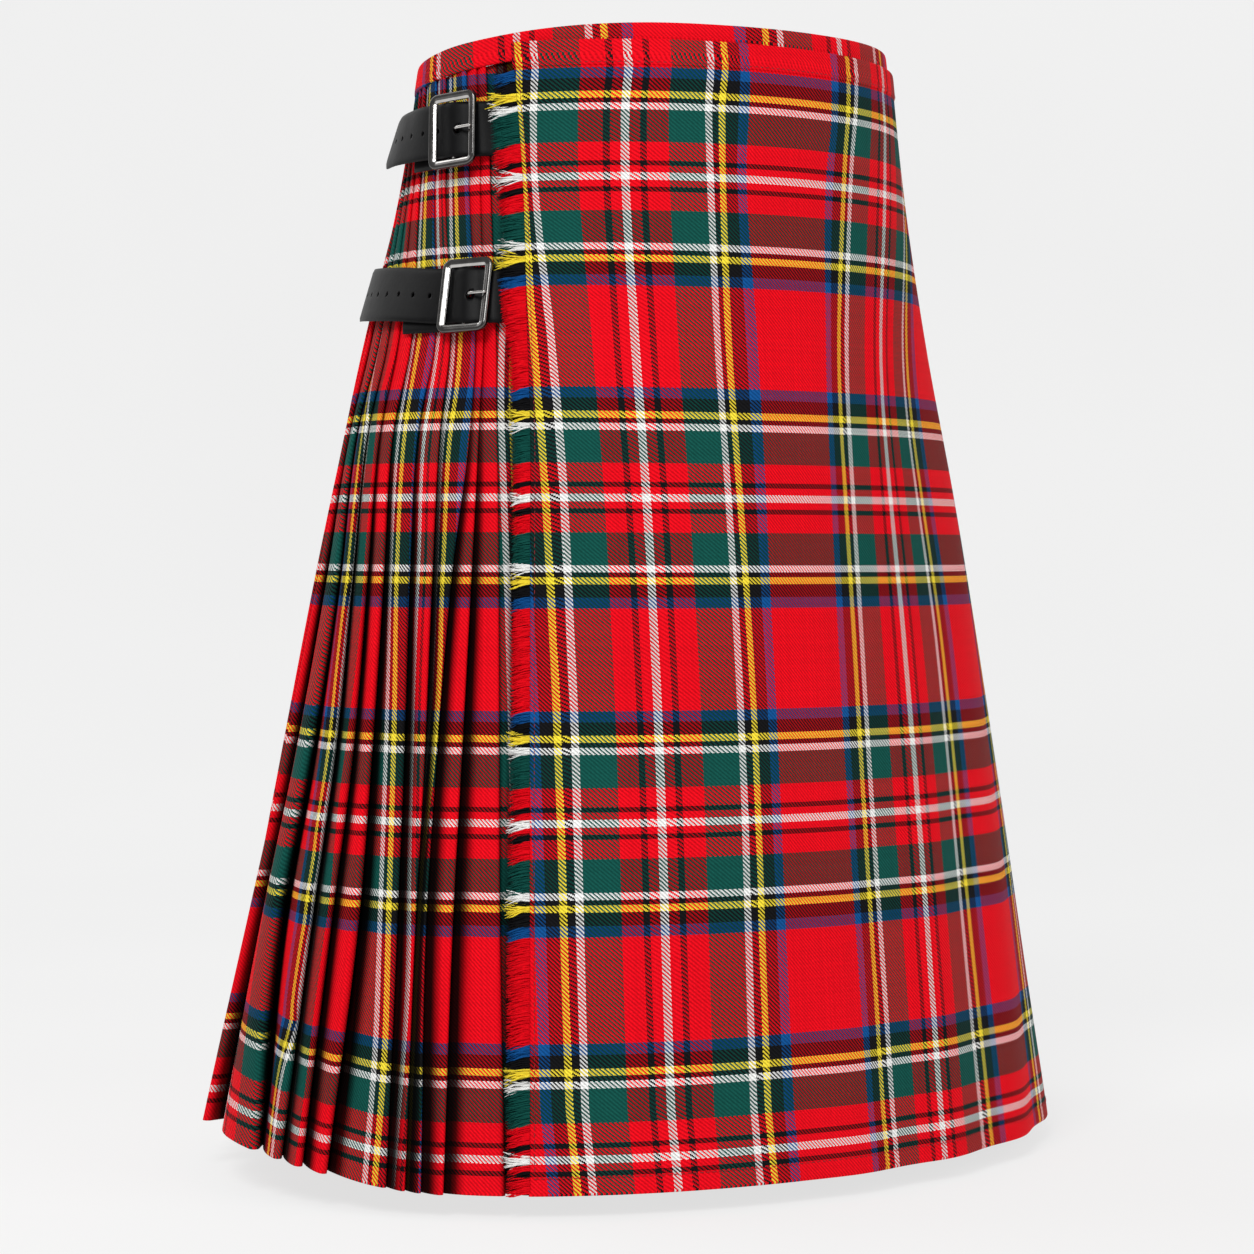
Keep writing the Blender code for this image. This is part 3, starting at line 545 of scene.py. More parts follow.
# ---- materials
class Nodes:
    """Short forms for building a node tree."""

    def __init__(self, name):
        self.material = bpy.data.materials.new(name)
        self.material.use_nodes = True
        self.tree = self.material.node_tree
        self.shader = self.tree.nodes["Principled BSDF"]
        self.place = self.add("ShaderNodeTexCoord").outputs["Object"]

    def add(self, kind, inputs=None, **settings):
        """A node with its settings, and values or sockets for its inputs."""
        node = self.tree.nodes.new(kind)
        for key, value in settings.items():
            setattr(node, key, value)
        for key, value in (inputs or {}).items():
            self.link(value, node.inputs[key])
        return node

    def link(self, source, target):
        if isinstance(source, (int, float, tuple)):
            target.default_value = source
        else:
            self.tree.links.new(source, target)

    def math(self, operation, *values):
        return self.add("ShaderNodeMath", dict(enumerate(values)), operation=operation).outputs[0]

    def scaled(self, value, scale, start):
        return self.math("MULTIPLY_ADD", value, scale, start)

    def mix(self, factor, first, second, blend="MIX"):
        inputs = {"Factor": factor, "A": first, "B": second}
        return self.add("ShaderNodeMix", inputs, data_type="RGBA", blend_type=blend).outputs["Result"]

    def times(self, first, second):
        return self.mix(1.0, first, second, "MULTIPLY")

    def give(self, **values):
        """Values or sockets for the shader, by its sockets' names."""
        for name, value in values.items():
            self.link(value, self.shader.inputs[name.replace("_", " ")])

    def clouded(self, factor, dark, light, edge=0.3):
        """Between two colours, by a noise's value."""
        return self.ramp(factor, ((edge, (*dark, 1)), (1 - edge, (*light, 1))))

    def ramp(self, factor, stops, interpolation="LINEAR"):
        node = self.add("ShaderNodeValToRGB")
        node.color_ramp.interpolation = interpolation
        elements = node.color_ramp.elements
        while len(elements) < len(stops):
            elements.new(1.0)
        for element, (position, colour) in zip(elements, stops):
            element.position = position
            element.color = colour
        self.link(factor, node.inputs[0])
        return node.outputs[0]

    def noise(self, scale, detail, roughness):
        inputs = {"Scale": scale, "Detail": detail, "Roughness": roughness, "Vector": self.place}
        return self.add("ShaderNodeTexNoise", inputs).outputs[0]

    def bump(self, height, strength, distance, below=None):
        inputs = {"Strength": strength, "Distance": distance, "Height": height}
        if below is not None:
            inputs["Normal"] = below
        return self.add("ShaderNodeBump", inputs).outputs[0]

    def map_place(self, name):
        """Both coordinates in one of the mesh's own maps."""
        place = self.add("ShaderNodeUVMap", uv_map=name).outputs[0]
        return self.add("ShaderNodeSeparateXYZ", {0: place}).outputs[:2]

    def sett_colour(self, threads, crossing_shade=None):
        """Colour of the yarn at a count of threads, or a table's value for that colour."""
        place = self.math("DIVIDE", self.math("PINGPONG", threads, HALF_SETT), HALF_SETT)
        stops = []
        for start, colour in SETT:
            stops.append((start / HALF_SETT, (crossing_shade[colour],) * 3 + (1,) if crossing_shade else colour))
        return self.ramp(place, stops, "CONSTANT")

    def yarn_shade(self, yarn, low, high):
        """A little difference in shade from yarn to yarn."""
        node = self.add("ShaderNodeTexWhiteNoise", {"W": yarn}, noise_dimensions="1D")
        return self.scaled(node.outputs[0], high - low, low)


def tartan():
    """2/2 twill woven from the sett: warp and weft floats over two yarns, stepping by one."""
    n = Nodes("tartan_twill")
    u, v = n.map_place("sett")
    warp_yarns = n.math("MULTIPLY", u, YARNS_A_THREAD)
    weft_yarns = n.math("MULTIPLY", v, YARNS_A_THREAD)
    warp_yarn = n.math("FLOOR", warp_yarns)
    weft_yarn = n.math("FLOOR", weft_yarns)
    step = n.math("FLOORED_MODULO", n.math("SUBTRACT", warp_yarn, weft_yarn), 4.0)
    warp_up = n.math("LESS_THAN", step, 1.5)

    warp_dye, weft_dye = n.sett_colour(u), n.sett_colour(v)
    warp_colour = n.times(warp_dye, n.yarn_shade(warp_yarn, 0.88, 1.04))
    weft_colour = n.times(weft_dye, n.yarn_shade(weft_yarn, 0.88, 1.04))
    colour = n.mix(warp_up, weft_colour, warp_colour)
    contrast = n.add("ShaderNodeVectorMath", {0: warp_dye, 1: weft_dye}, operation="DISTANCE")
    crossing = n.math("GREATER_THAN", contrast.outputs["Value"], 0.01)
    # Painted shade where two colours cross: each yarn darkened by its table, but not over a pale yarn.
    crossing_shade = n.mix(warp_up, n.sett_colour(v, WEFT_CROSSING_SHADE), n.sett_colour(u, WARP_CROSSING_SHADE))
    pale = n.mix(warp_up, n.sett_colour(u, PALE), n.sett_colour(v, PALE))
    crossing_shade = n.mix(pale, crossing_shade, (1.0, 1.0, 1.0, 1.0))
    colour = n.mix(crossing, colour, n.times(colour, crossing_shade))

    warp_round = n.math("SINE", n.math("MULTIPLY", n.math("FRACT", warp_yarns), pi))
    weft_round = n.math("SINE", n.math("MULTIPLY", n.math("FRACT", weft_yarns), pi))
    yarn_round = n.add("ShaderNodeMix", {0: warp_up, 2: weft_round, 3: warp_round}, data_type="FLOAT")
    diagonal = n.math("SINE", n.math("MULTIPLY", n.math("SUBTRACT", warp_yarns, weft_yarns), pi / 2))
    wale = n.scaled(diagonal, 0.5, 0.5)
    relief = n.scaled(yarn_round.outputs[0], 0.35, n.math("MULTIPLY", wale, 0.65))
    # Painted shade and light of the weave's relief: each yarn lighter along its middle, darker at its sides
    # and in the twill's diagonal grooves.
    colour = n.times(colour, n.scaled(relief, 0.80, 0.53))

    slub = n.noise(900.0, 4.0, 0.6)
    wear = n.noise(9.0, 3.0, 0.5)
    colour = n.times(colour, n.scaled(slub, 0.30, 0.86))
    colour = n.times(colour, n.scaled(wear, 0.16, 0.93))
    # Painted shade from the fold map: the colour is darkened deep between two pleats and beside the fringe's
    # tips, where the cloth gets little light.
    colour = n.times(colour, n.math("SUBTRACT", 1.0, n.map_place("fold")[0]))
    fine = n.bump(n.scaled(slub, 0.35, relief), 0.6, 0.0003)
    rough = n.scaled(relief, -0.12, 0.80)
    n.give(Base_Color=colour, Roughness=rough, Normal=fine, Specular_IOR_Level=0.04)
    return n.material


def yarn():
    """Loose weft yarn of the fringe, in the colour of its own row."""
    n = Nodes("fringe_wool")
    row = n.map_place("sett")[1]
    fibre = n.noise(1400.0, 3.0, 0.6)
    colour = n.times(n.sett_colour(row), n.scaled(fibre, 0.5, 0.72))
    rough = n.scaled(fibre, 0.1, 0.78)
    n.give(Base_Color=colour, Roughness=rough, Normal=n.bump(fibre, 0.5, 0.0002), Specular_IOR_Level=0.05)
    return n.material


def leather():
    n = Nodes("strap_leather")
    inputs = {"Scale": 1500.0, "Vector": n.place}
    grain = n.add("ShaderNodeTexVoronoi", inputs, feature="DISTANCE_TO_EDGE")
    cells = n.math("MINIMUM", n.math("MULTIPLY", grain.outputs[0], 6.0), 1.0)
    cloud = n.noise(120.0, 5.0, 0.6)
    crease = n.noise(420.0, 2.0, 0.5)
    colour = n.clouded(cloud, (0.0018, 0.0018, 0.002), (0.0040, 0.0040, 0.0045), 0.25)
    rough = n.scaled(cloud, 0.14, 0.38)
    fine = n.bump(crease, 0.10, 0.0006, n.bump(cells, 0.12, 0.0001))
    n.give(Base_Color=colour, Roughness=rough, Normal=fine, Specular_IOR_Level=0.10)
    return n.material


def stitch_thread():
    n = Nodes("stitch_thread")
    fibre = n.noise(2500.0, 2.0, 0.5)
    colour = n.clouded(fibre, (0.16, 0.004, 0.006), (0.30, 0.006, 0.010))
    n.give(Base_Color=colour, Normal=n.bump(fibre, 0.4, 0.0001), Roughness=0.7)
    return n.material


def nickel(name, dark, light):
    n = Nodes(name)
    cloud = n.noise(160.0, 4.0, 0.6)
    scratches = n.noise(2600.0, 2.0, 0.6)
    colour = n.clouded(cloud, *((grey, 0.97 * grey, 0.94 * grey) for grey in (dark, light)))
    rough = n.scaled(cloud, 0.12, 0.10)
    n.give(Base_Color=colour, Roughness=rough, Normal=n.bump(scratches, 0.05, 0.0001), Metallic=1.0)
    return n.material


TARTAN, YARN, LEATHER, STITCH = tartan(), yarn(), leather(), stitch_thread()
# Copies of one nickel: the frame's is painted dark for dark reflections, and the bright one is a painted
# highlight on the frame's bevel; the bar and prong are in it as well.
NICKEL, NICKEL_PAINTED_DARK = nickel("polished_nickel", 0.46, 0.62), nickel("nickel_painted_dark", 0.09, 0.15)


# ---- aprons
def threads_between(arcs, lines, thread_width):
    """Threads at some arcs, from lines of (thread, arc), and evenly spaced beyond them."""
    places = []
    for k, (thread, arc) in enumerate(lines):
        beside = [lines[n] for n in (k - 1, k + 1) if 0 <= n < len(lines)]
        spans = [abs(arc - other_arc) / abs(thread - other) for other, other_arc in beside]
        if thread in PALE_LINES:
            reach = PALE_LINE_HALF * min(thread_width, *spans)
            places += [(thread - PALE_LINE_HALF, arc + reach), (thread + PALE_LINE_HALF, arc - reach)]
        else:
            places.append((thread, arc))
        if thread in (0, 188) and spans[0] > 0.7 * thread_width:
            offset = DARK_LINE_OFFSET * min(1.0, min(spans) / (1.1 * thread_width))
            places += [(thread - DARK_LINE_THREAD, arc + offset), (thread + DARK_LINE_THREAD, arc - offset)]
    places.sort()
    threads = np.interp(-arcs, [-arc for _, arc in places], [thread for thread, _ in places])
    threads -= np.maximum(arcs - places[0][1], 0) / thread_width
    return threads + np.maximum(places[-1][1] - arcs, 0) / thread_width


def apron_threads(arc, z):
    """Threads across the over apron, row by row."""
    u = np.empty_like(arc)
    for row in range(arc.shape[0]):
        lines = [(thread, float(eased(z[row, 0], line, 1))) for thread, line in APRON_LINES]
        u[row] = threads_between(arc[row], lines, APRON_THREAD)
    return u


def ease_ends(count, close, share=0.03):
    """Places from 0 to 1 with close steps at both ends."""
    middle = np.linspace(share, 1 - share, count - 2 * close)
    start = share * (1 - np.cos(np.linspace(0, pi / 2, close + 1)))[:-1]
    return np.concatenate([start, middle, 1 - start[::-1]])


APRON_HEM_ROWS = (-0.5485, -0.5500, -0.5508, -0.5516, -0.5530, -0.5550, -0.5575, -0.5590, -0.5597)


def build_over_apron():
    shares = ease_ends(170, 6, 0.02)
    heights = np.concatenate([
        np.linspace(APRON_BAND_BOTTOM - BAND_GAP + SEAM_TUCK, -0.546, 170),
        APRON_HEM_ROWS, [HEM_Z],
    ])
    z = np.repeat(heights[:, None], len(shares), axis=1)
    right, left = right_edge(z), left_edge(z)
    arc = between(-left, right, shares[None, :])
    lift = apron_wave(arc, z)
    # Soft give of the cloth, the rolled edges, the stitched grooves and the turned hem.
    loose = smooth_step((-0.06 - z) / 0.4)
    lift += 0.0005 * loose * np.sin(41 * arc + 9 * z + 1.2) * np.sin(13 * z + 7 * arc)
    side = np.minimum(right - arc, arc + left)
    lift -= 0.0008 * np.clip(1 - side / 0.0014, 0, 1) ** 2
    lift -= 0.00030 * np.exp(-((right - arc - EDGE_STITCH) / 0.0006) ** 2)
    lift -= 0.00035 * np.exp(-((z - HEM_Z - HEM_STITCH) / 0.0008) ** 2)
    lift -= 0.0007 * np.clip(1 - (z - HEM_Z) / 0.0014, 0, 1) ** 2
    threads = corner_threads(apron_threads(arc, z), weft(z))
    return cloth_sheet("over_apron_cloth", arc, z, lift, threads, APRON_SHELL)


def tip_shadow(arc, z):
    """Darkness of the fringe's shadow, painted into the colour of the cloth behind it."""
    beyond = arc - right_edge(z) - eased(z, YARN_LENGTHS, 1)
    return 0.95 * (1 - smooth_step(beyond / TIP_SHADOW))


def under_lift(arc, z):
    start, deep = first_groove(z)
    dip = smooth_step((arc - start + UNDER_APRON_DIP_RUN) / UNDER_APRON_DIP_RUN)
    return between(UNDER_APRON_LIFT, deep - GAP, dip)


def build_under_apron():
    heights = np.concatenate([[SEAM_Z], np.linspace(-0.005, HEM_Z + 0.001, 110), [HEM_Z]])
    shares = np.linspace(0, 1, 120)
    level = np.repeat(heights[:, None], len(shares), axis=1)
    arc = between(-eased(level, UNDER_APRON_LEFT, 1), first_groove(level)[0] - GAP, shares[None, :])
    z = level.copy()
    z[0] = cloth_top(arc[0]) + SEAM_TUCK
    lift = under_lift(arc, level)
    u = UNDER_LINE_THREAD - (arc - eased(level, UNDER_LINE, 1)) / THREAD
    threads = corner_threads(u, weft(z))
    # The fringe's shadow is painted on the under apron too.
    return cloth_sheet("under_apron_cloth", arc, z, lift, threads, UNDER_APRON_SHELL, tip_shadow(arc, level))


# ---- pleats
CLIMB_STEPS = (0.0, 0.07, 0.14, 0.22, 0.30, 0.38, 0.46, 0.55, 0.65, 0.76, 0.88, 1.0)
# The pleat's rounded edge: turn in degrees, share of the fold's painted shade.
EDGE_TURNS = ((125, 0.0), (158, 0.15), (192, 0.45), (232, 0.75))
GROOVE_STEPS = (0.4, 0.75, 1.0)
CLIMB_CURVE = 1.45
EDGE_RADII = (0.0007, 0.0031)
PLEAT_WANDER = 0.00035
HIP_Z = -0.16
PLEAT_HEM_ROWS = (-0.5500, -0.5508, -0.5516, -0.5550, -0.5590)
# Painted shade: how much the cloth's colour is darkened beside the pleat that covers it, and how far that
# reaches.
FOLD_SHADE = (
    # height, darkness, how far from the covering pleat's edge it stays, and how far it then takes to fade
    (0.052, 0.30, 0.0, 0.0012),
    (-0.150, 0.45, 0.0003, 0.0018),
    (-0.200, 0.92, 0.0012, 0.0042),
    (-0.240, 0.975, 0.0020, 0.0052),
    (-0.350, 0.985, 0.0030, 0.0064),
    (-0.565, 0.985, 0.0040, 0.0078),
)


def pleat_columns(rows, arcs):
    """Arcs, lifts and painted shade of the pleats' columns of points, and the pleat that each belongs to.

    They go from the back to the front, pleat by pleat: a climb, a rounded edge and a groove's wall."""
    last = arcs.shape[1] - 1
    flat = np.full(len(rows), -TUCK - CLOTH / 2)
    columns = [(arcs[:, last] + beyond, flat) for beyond in (WALL_END, 2 * CLOTH)]
    owner = [last, last]
    darkness, deep, fade = (eased(rows, FOLD_SHADE, column) for column in (1, 2, 3))
    shades = [darkness, darkness]
    hang = smooth_step((-0.10 - rows) / 0.40)
    for k in range(last - 1, -1, -1):
        depth, overhang = fold_relief(arcs, k, rows)
        top = tuck(arcs[:, k], rows)
        before_arc, before_lift = columns[-1]
        radius = np.clip(0.24 * depth + 0.0002, *EDGE_RADII)
        crest = arcs[:, k] + radius
        wander = PLEAT_WANDER * hang * np.sin(17 * rows + 1.9 * k)
        covered = fold_relief(arcs, k + 1, rows)[1] if k + 1 < last else 0.0
        for share in CLIMB_STEPS:
            climb = 1 - (1 - share) ** CLIMB_CURVE
            climbed = between(before_lift, top, climb) + wander * share
            columns.append((between(before_arc, crest, share), climbed))
            clear = (before_arc - crest) * share - covered - deep
            shades.append(darkness * (1 - smooth_step(clear / fade)))
        for turn, shade in EDGE_TURNS:
            at = radians(turn)
            columns.append((crest + radius * cos(at), top - radius + radius * sin(at) + wander))
            shades.append(darkness * shade)
        wall_arc, wall_lift = columns[-1]
        groove_arc, groove_lift = arcs[:, k] + overhang, top - depth
        for share in GROOVE_STEPS:
            columns.append((between(wall_arc, groove_arc, share), between(wall_lift, groove_lift, share)))
            shades.append(darkness)
        owner += [k] * (len(columns) - len(owner))
    arc, lift = (np.stack(column, axis=1) for column in zip(*columns))
    return arc, lift, np.stack(shades, axis=1), np.array(owner)


def pleat_threads(rows, arcs, arc, lift, owner):
    """Threads at both sides of each column of faces, along each pleat's own surface from its edge."""
    steps = np.hypot(np.diff(arc, axis=1), np.diff(lift, axis=1))
    path = np.concatenate([np.zeros((len(rows), 1)), np.cumsum(steps, axis=1)], axis=1)
    near, far = np.zeros_like(steps), np.zeros_like(steps)
    last = arcs.shape[1] - 1
    hip = int(np.argmin(np.abs(rows - HIP_Z)))
    for k in range(last + 1):
        own = np.where(owner[1:] == k)[0]
        if not len(own):
            continue
        # The column at the pleat's edge is the last of the climbing steps.
        edge = own[0] + len(CLIMB_STEPS) if k < last else own[-1] + 1
        from_edge = path - path[:, edge:edge + 1]
        if k < len(FACES):
            thread, line, stretch = FACES[k]
        else:
            thread, line, stretch = BACK_START - (arcs[hip, k] - arcs[hip, len(FACES)]) / THREAD, None, 1.0
        pitch = THREAD * stretch
        at_edge = np.full((len(rows), 1), thread)
        if line is not None:
            # Length of surface between the line's place and the pleat's edge.
            line_arc = eased(rows, line, 1)
            face = slice(own[0], edge + 1)
            for r in range(len(rows)):
                reach = np.interp(-line_arc[r], -arc[r, face], from_edge[r, face])
                at_edge[r] -= (reach + min(line_arc[r] - arc[r, edge], 0.0)) / pitch
        near[:, own] = at_edge + from_edge[:, own] / pitch
        far[:, own] = at_edge + from_edge[:, own + 1] / pitch
    return near, far


def build_pleats():
    rows = np.concatenate([[SEAM_Z], np.linspace(0.006, -0.5475, 62), PLEAT_HEM_ROWS, [HEM_Z]])
    arcs = fold_arcs(rows)
    arc, lift, shade, owner = pleat_columns(rows, arcs)
    level = np.repeat(rows[:, None], arc.shape[1], axis=1)
    z = pleat_height(arc, level)
    z[0] = cloth_top(arc[0]) + SEAM_TUCK
    # The fringe's shadow is painted on the first pleat.
    shade = np.maximum(shade, tip_shadow(arc, level) * (owner == 0))
    painted_shade_corners = corner_threads(shade, np.zeros_like(shade))
    level[0] = z[0]
    threads = corner_threads(arc, weft(level))
    near, far = pleat_threads(rows, arcs, arc, lift, owner)
    threads[..., 0] = np.stack([near[:-1], far[:-1], far[1:], near[1:]], axis=2)
    # The columns run from right to left, so the faces are turned over.
    points, faces = cloth_points(arc, z, lift), grid_faces(*arc.shape)[:, ::-1]
    return cloth_object("pleats_cloth", points, faces, threads[:, :, ::-1], painted_shade_corners[:, :, ::-1], PLEAT_SHELL)


# ---- bands
def band_section(count, height, thickness):
    """Places round a band's section, as (share of lift, share of height): a soft rounded rectangle."""
    places = []
    for k in range(count):
        turn = 2 * pi * k / count
        out, up = (np.sign(part) * abs(part) ** BAND_CORNER for part in (cos(turn), sin(turn)))
        places.append((thickness / 2 * out, height / 2 * up))
    return np.array(places)


def build_band(name, arcs, middle, lift, height, thread_at):
    section = band_section(24, height, BAND_CLOTH)
    rings = np.empty((len(arcs), len(section), 3))
    threads = np.empty((len(arcs), len(section), 2))
    for a, (out, up) in enumerate(section):
        z = middle + up
        rings[:, a] = cloth_points(arcs, z, lift - BAND_CLOTH / 2 + out)
        threads[:, a, 0] = thread_at
        threads[:, a, 1] = weft(z)
    return swept(name, rings, threads, TARTAN)


def build_bands():
    middle = (APRON_BAND_TOP + APRON_BAND_BOTTOM) / 2
    arcs = np.linspace(-float(left_edge(middle)), float(right_edge(middle)), 150)
    threads = apron_threads(arcs[None, :], np.full((1, len(arcs)), middle))[0]
    height = APRON_BAND_TOP - APRON_BAND_BOTTOM
    front = build_band("apron_band_cloth", arcs, middle, BAND_LIFT, height, threads)
    start = -float(eased(middle, UNDER_APRON_LEFT, 1))
    end = float(pleats_end(middle)) + WALL_END
    arcs = np.linspace(start, end, 320)
    threads = threads_between(arcs, BAND_LINES, APRON_THREAD)
    centre = inner_band_top(arcs) - INNER_BAND_HEIGHT / 2
    lift = tuck(arcs, middle) + BAND_LIFT
    inner = build_band("inner_band_cloth", arcs, centre, lift, INNER_BAND_HEIGHT, threads)
    return front, inner


# ---- stitches
# A stitch's rings: share of its length, share of its width, lift in widths.
STITCH_RINGS = ((0.0, 0.35, -0.2), (0.25, 1.0, 0.35), (0.75, 1.0, 0.35), (1.0, 0.35, -0.2))
STITCH_SIDES = 6


def stitch_rows(name, lines, length, width):
    """Small raised stitches along lines of points, each a short rounded tube."""
    points = []
    faces = []
    for line in lines:
        steps = np.linalg.norm(np.diff(line, axis=0), axis=1)
        path = np.concatenate([[0.0], np.cumsum(steps)])
        for start in np.arange(0.002, path[-1] - length, length * STITCH_PITCH):
            stops = [start + ring[0] * length for ring in STITCH_RINGS]
            spots = np.stack([np.interp(stops, path, line[:, c]) for c in range(3)], axis=1)
            along = Vector(spots[-1] - spots[0]).normalized()
            out = Vector((spots[0][0], spots[0][1], 0)).normalized()
            up = along.cross(out).normalized()
            out = up.cross(along)
            base = len(points)
            for spot, (_, size, rise) in zip(spots, STITCH_RINGS):
                for turn in range(STITCH_SIDES):
                    at = 2 * pi * turn / STITCH_SIDES
                    offset = up * (cos(at) * size / 2) + out * (sin(at) * size / 2 + rise)
                    points.append(Vector(spot) + width * offset)
            faces += ring_faces(base, len(STITCH_RINGS), STITCH_SIDES)
            end = base + (len(STITCH_RINGS) - 1) * STITCH_SIDES
            faces.append(tuple(base + turn for turn in range(STITCH_SIDES))[::-1])
            faces.append(tuple(end + turn for turn in range(STITCH_SIDES)))
    return new_object(name, new_mesh(name, points, faces), STITCH)


def build_apron_stitches():
    heights = np.linspace(APRON_BAND_BOTTOM - 0.003, HEM_Z + 0.010, 240)
    edge_arcs = right_edge(heights) - EDGE_STITCH
    edge = cloth_points(edge_arcs, heights, apron_wave(edge_arcs, heights) - STITCH_SINK)
    arcs = np.linspace(EDGE_STITCH - float(left_edge(HEM_Z)), float(right_edge(HEM_Z)) - EDGE_STITCH, 260)
    hem_z = HEM_Z + HEM_STITCH
    hem = cloth_points(arcs, hem_z, apron_wave(arcs, np.full_like(arcs, hem_z)) - STITCH_SINK)
    seam_arcs = np.linspace(-0.172, 0.171, 220)
    seam = cloth_points(seam_arcs, APRON_BAND_BOTTOM + 0.0016, BAND_LIFT - 2 * STITCH_SINK)
    return stitch_rows("apron_stitches", [edge, hem, seam], STITCH_LENGTH, STITCH_WIDTH)


# ---- fringe
YARN_ROW_STEP = 0.00062
YARNS_A_ROW = 4
YARN_SIDES = 3
# A yarn thins to its tip: share of its radius at each of its rings.
YARN_RINGS = (1.0, 1.0, 1.0, 0.8, 0.3)
FRINGE_RAISE = 0.0030


def raised_by_straps(z):
    """The fringe lies over the roots of the straps."""
    raised = 0.0
    for fastening in FASTENINGS:
        beside = abs(z - fastening[2]) / (STRAP_WIDTH / 2 + 0.006)
        raised += FRINGE_RAISE * (1 - float(smooth_step((beside - 0.85) / 0.3)))
    return raised


def build_fringe():
    rng = np.random.default_rng(7)
    points = []
    faces = []
    threads = []
    stations = np.linspace(0, 1, len(YARN_RINGS))
    z = APRON_BAND_BOTTOM - 0.0018
    while z > HEM_Z + 0.002:
        v = float(weft(z))
        distance = abs((v + HALF_SETT) % (2 * HALF_SETT) - HALF_SETT)
        pale = distance < 2 or 39 <= distance < 43 or 46 <= distance < 50
        for _ in range(YARNS_A_ROW):
            length = float(eased(z, YARN_LENGTHS, 1)) * rng.uniform(0.80, 1.10) * (1.08 if pale else 1.0)
            start_z = z + rng.uniform(-0.0004, 0.0004)
            slope = rng.uniform(0.10, 0.34) if not pale else rng.uniform(-0.28, 0.38)
            wave = rng.uniform(0.0002, 0.0005)
            phase = rng.uniform(0, 2 * pi)
            lift = rng.uniform(-0.0012, 0.0001)
            rise = rng.uniform(-0.0006, 0.0022) + (0.0006 if pale else 0.0) + raised_by_straps(z)
            radius = rng.uniform(0.00030, 0.00046) * (1.35 if pale else 1.0)
            zs = start_z - length * slope * stations ** 1.4 + wave * np.sin(phase + 7 * stations) * stations
            lifts = lift + rise * stations ** 1.5 + 0.0004 * np.sin(phase * 2 + 5 * stations) * stations
            zs = np.maximum(zs, HEM_Z + GAP)
            centre = cloth_points(right_edge(start_z) - 0.0006 + length * stations, zs, lifts)
            base = len(points)
            for middle, share in zip(centre, YARN_RINGS):
                out = Vector((middle[0], middle[1], 0)).normalized()
                for turn in range(YARN_SIDES):
                    at = 2 * pi * turn / YARN_SIDES + phase
                    points.append(Vector(middle) + radius * share * (out * cos(at) + Vector((0, 0, sin(at)))))
            end = base + (len(YARN_RINGS) - 1) * YARN_SIDES
            sides = ring_faces(base, len(YARN_RINGS), YARN_SIDES)
            faces += sides + [tuple(end + turn for turn in range(YARN_SIDES))]
            threads += [(0.0, v)] * (4 * len(sides) + YARN_SIDES)
        z -= YARN_ROW_STEP
    mesh = new_mesh("fringe_yarns", points, faces)
    give_map(mesh, "sett", threads)
    turn_outward(mesh)
    return new_object("fringe_yarns", mesh, YARN)


# ---- straps, tabs and buckles
def buckle_rise(lean):
    return BUCKLE_WIDTH / 2 * sin(radians(lean))


def course_from(arc, lean, course):
    rise = buckle_rise(lean)
    return tuple((arc + distance, lift + rise * share) for distance, lift, share in course)


def strap_path(arc, lean, tail_end):
    tail_lift = STRAP_TAIL_LIFT + STRAP_TAIL_RISE * buckle_rise(lean)
    return STRAP_HIDDEN_COURSE + course_from(arc, lean, STRAP_COURSE) + ((tail_end, tail_lift),)


def strap_height(fastening, arc):
    """The strap runs level through its buckle and slopes up along the tail."""
    beyond = arc - fastening[1]
    return fastening[2] + fastening[6] * beyond * smooth_step(beyond / STRAP_SLOPE_RUN)


def strap_flare(fastening, arc):
    """How much the tail's lower edge stands away."""
    return fastening[5] * smooth_step((arc - fastening[1] - BUCKLE_WIDTH / 2) / STRAP_FLARE_RUN)


def leather_rings(arcs, middle, half, lift, leather, steps, soft, flare=0.0):
    """Section of a leather strip at each of a column of arcs, thinner at its two edges.

    lift is how high its underside lies, and flare how much higher at its lower edge."""
    across = np.linspace(-1, 1, steps)
    across = np.concatenate([across, across[::-1]])
    side = np.repeat([0.5, -0.5], steps)
    inset = between(LEATHER_EDGE, 1.0, smooth_step((1 - abs(across)) / soft))
    reach = across * half
    lifts = lift + flare * (0.5 - reach / STRAP_WIDTH) + leather * (0.5 + side * inset)
    return cloth_points(arcs, middle + reach, lifts)


